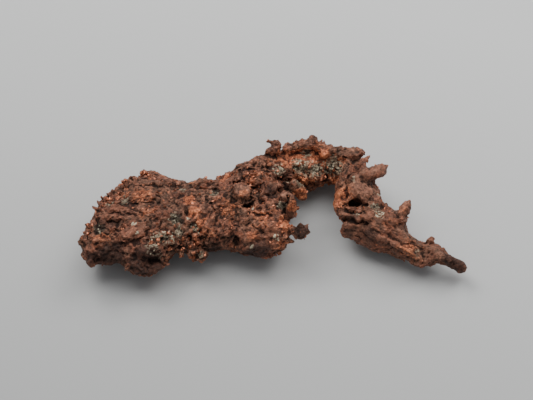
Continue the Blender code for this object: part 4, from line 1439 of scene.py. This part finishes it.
class OBJECT_OT_nugget_skin(bpy.types.Operator):
    """Builds the nugget's skin over the CAD node, with its relief and its patches"""

    bl_idname = "object.nugget_skin"
    bl_label = "Build the nugget's skin"

    def execute(self, context):
        settings = context.scene.nugget_skin
        noise.seed_set(NOISE_SEED)
        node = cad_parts["copper_nugget"]
        piece = fine_skin(node, settings.mesh_size)
        skin = skin_tree(piece.data)
        body = Body(piece.data)
        body.smooth_out_facets()
        body.find_ragged_places()
        nudge(body, skin)
        draw_strokes(body, skin)
        knobbly, streaked, smooth = shape_relief(body, skin, settings)
        drawn = drawn_out(body.places, slopes_at(body.places), LINE_LENGTH, LINE_WIDTH)
        body.add_vector_attribute("drawn", drawn)
        shares = colour_shares(body, skin)
        hollow, wide_hollow = find_hollows(body)
        body.keep_on_table()
        noted = {"hollow": hollow, "wide_hollow": wide_hollow, "streaked": streaked, "smooth": smooth}
        noted.update(shares)
        noted.update(grain_shares(body, shares, hollow, knobbly, streaked, smooth))
        for name, values in noted.items():
            body.add_attribute(name, values)
        piece.data.materials.clear()
        piece.data.materials.append(copper_material(settings))
        piece.data.shade_flat()
        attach(piece, "root")
        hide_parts("copper_nugget")
        return {"FINISHED"}


class OBJECT_OT_nugget_grains(bpy.types.Operator):
    """Strews copper shards, nodules and spines, white grains and crust over the nugget's skin"""

    bl_idname = "object.nugget_grains"
    bl_label = "Strew the nugget's grains"

    def execute(self, context):
        settings = context.scene.nugget_grains
        crust = tuple(context.scene.nugget_skin.crust)
        pale = tuple(context.scene.nugget_skin.pale)
        surface = bpy.data.objects["nugget_skin"]
        # The copper grains wear the skin's own native copper material.
        copper = bpy.data.materials["native_copper"]
        tree = grain_tree()
        materials = {
            "shards": copper,
            "nodules": copper,
            "spines": copper,
            "white_grains": grain_material("white_grains", crust, pale, 0.7),
            "crust_grains": grain_material("crust_grains", CRUST_DARK, crust, 0.8),
        }
        for name, values in STREWN.items():
            chosen = dict(values)
            chosen["Density"] *= settings.amount
            chosen["Seed"] += settings.seed
            piece = strew(name, tree, surface, materials[name], chosen)
            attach(piece, "root")
            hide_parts("copper_nugget")
        return {"FINISHED"}


class OBJECT_OT_nugget_stage(bpy.types.Operator):
    """Adds the pale floor, the soft light and the camera of the photo's angle"""

    bl_idname = "object.nugget_stage"
    bl_label = "Set the nugget's stage"

    def execute(self, context):
        settings = context.scene.nugget_stage
        add_floor(settings)
        for place, share, width in SOFT_LIGHTS:
            add_light(place, settings.key_power * share, width)
        add_surroundings(context.scene, settings)
        add_camera(context.scene)
        return {"FINISHED"}


def add_floor(settings):
    mesh = bpy.data.meshes.new("floor")
    shape = bmesh.new()
    bmesh.ops.create_grid(shape, x_segments=1, y_segments=1, size=settings.floor_size / 2)
    shape.to_mesh(mesh)
    shape.free()
    floor = add_object("floor", mesh)
    material = bpy.data.materials.new("pale_floor")
    material.use_nodes = True
    root = Socket(material.node_tree)
    place = root.make("ShaderNodeTexCoord", output="Object")
    mottle_sockets = {"Vector": place, "Scale": FLOOR_MOTTLE_SCALE, "Detail": 3.0}
    mottle = root.make("ShaderNodeTexNoise", None, mottle_sockets)
    split = root.make("ShaderNodeSeparateXYZ", None, {0: place})
    # Painted light: the floor is painted lighter away from the observer and to the right, up to a limit.
    slope = split.sibling("Y") * FLOOR_PAINTED_LIGHT_FAR + split.sibling("X") * FLOOR_PAINTED_LIGHT_RIGHT
    level = slope.least(FLOOR_PAINTED_LIGHT_MOST).most(-FLOOR_PAINTED_LIGHT_MOST) + (mottle - 0.5) * FLOOR_MOTTLE + 1.0
    colour = root.make("ShaderNodeRGB")
    colour.output.default_value = FLOOR
    surface = material.node_tree.nodes["Principled BSDF"]
    root.feed(surface.inputs["Base Color"], colour * level)
    surface.inputs["Roughness"].default_value = FLOOR_ROUGHNESS
    surface.inputs["Specular IOR Level"].default_value = FLOOR_SPECULAR
    mesh.materials.append(material)


def look_at(thing, place, target):
    thing.location = place
    thing.rotation_euler = (Vector(target) - Vector(place)).to_track_quat("-Z", "Y").to_euler()


def add_light(place, power, width):
    light = bpy.data.lights.new("soft_light", "AREA")
    light.shape = "RECTANGLE"
    light.size = width
    light.size_y = width * LIGHT_FLATNESS
    light.energy = power
    light.color = LIGHT_COLOUR
    lamp = add_object("soft_light", light)
    look_at(lamp, place, (0.0, 0.0, 0.0))


def add_surroundings(scene, settings):
    world = bpy.data.worlds.new("surroundings")
    scene.world = world
    world.use_nodes = True
    background = world.node_tree.nodes["Background"]
    background.inputs["Color"].default_value = SURROUNDINGS
    background.inputs["Strength"].default_value = settings.fill


def add_camera(scene):
    camera = bpy.data.cameras.new("camera")
    camera.sensor_width = SENSOR_WIDTH
    camera.lens = SENSOR_WIDTH * VIEW_DISTANCE / VIEW_WIDTH
    camera.clip_start = NEAREST
    camera.clip_end = FARTHEST
    holder = add_object("camera", camera)
    look_at(holder, EYE * MM, VIEW_POINT * MM)
    scene.camera = holder


class VIEW3D_PT_nugget(bpy.types.Panel):
    bl_label = "Native copper nugget"
    bl_idname = "VIEW3D_PT_nugget"
    bl_space_type = "VIEW_3D"
    bl_region_type = "UI"
    bl_category = "Nugget"

    def draw(self, context):
        layout = self.layout
        scene = context.scene
        for settings, operator in (
            (scene.nugget_skin, OBJECT_OT_nugget_skin),
            (scene.nugget_grains, OBJECT_OT_nugget_grains),
            (scene.nugget_stage, OBJECT_OT_nugget_stage),
        ):
            box = layout.box()
            for name in settings.__annotations__:
                box.prop(settings, name)
            box.operator(operator.bl_idname)


CLASSES = (
    NuggetSkinSettings,
    NuggetGrainSettings,
    NuggetStageSettings,
    OBJECT_OT_nugget_skin,
    OBJECT_OT_nugget_grains,
    OBJECT_OT_nugget_stage,
    VIEW3D_PT_nugget,
)


def register():
    for kind in CLASSES:
        bpy.utils.register_class(kind)
    bpy.types.Scene.nugget_skin = PointerProperty(type=NuggetSkinSettings)
    bpy.types.Scene.nugget_grains = PointerProperty(type=NuggetGrainSettings)
    bpy.types.Scene.nugget_stage = PointerProperty(type=NuggetStageSettings)


def unregister():
    del bpy.types.Scene.nugget_stage
    del bpy.types.Scene.nugget_grains
    del bpy.types.Scene.nugget_skin
    for kind in reversed(CLASSES):
        bpy.utils.unregister_class(kind)


def main():
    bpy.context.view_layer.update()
    register()
    bpy.ops.object.nugget_skin()
    bpy.ops.object.nugget_grains()
    bpy.ops.object.nugget_stage()


if __name__ == "__main__":
    main()
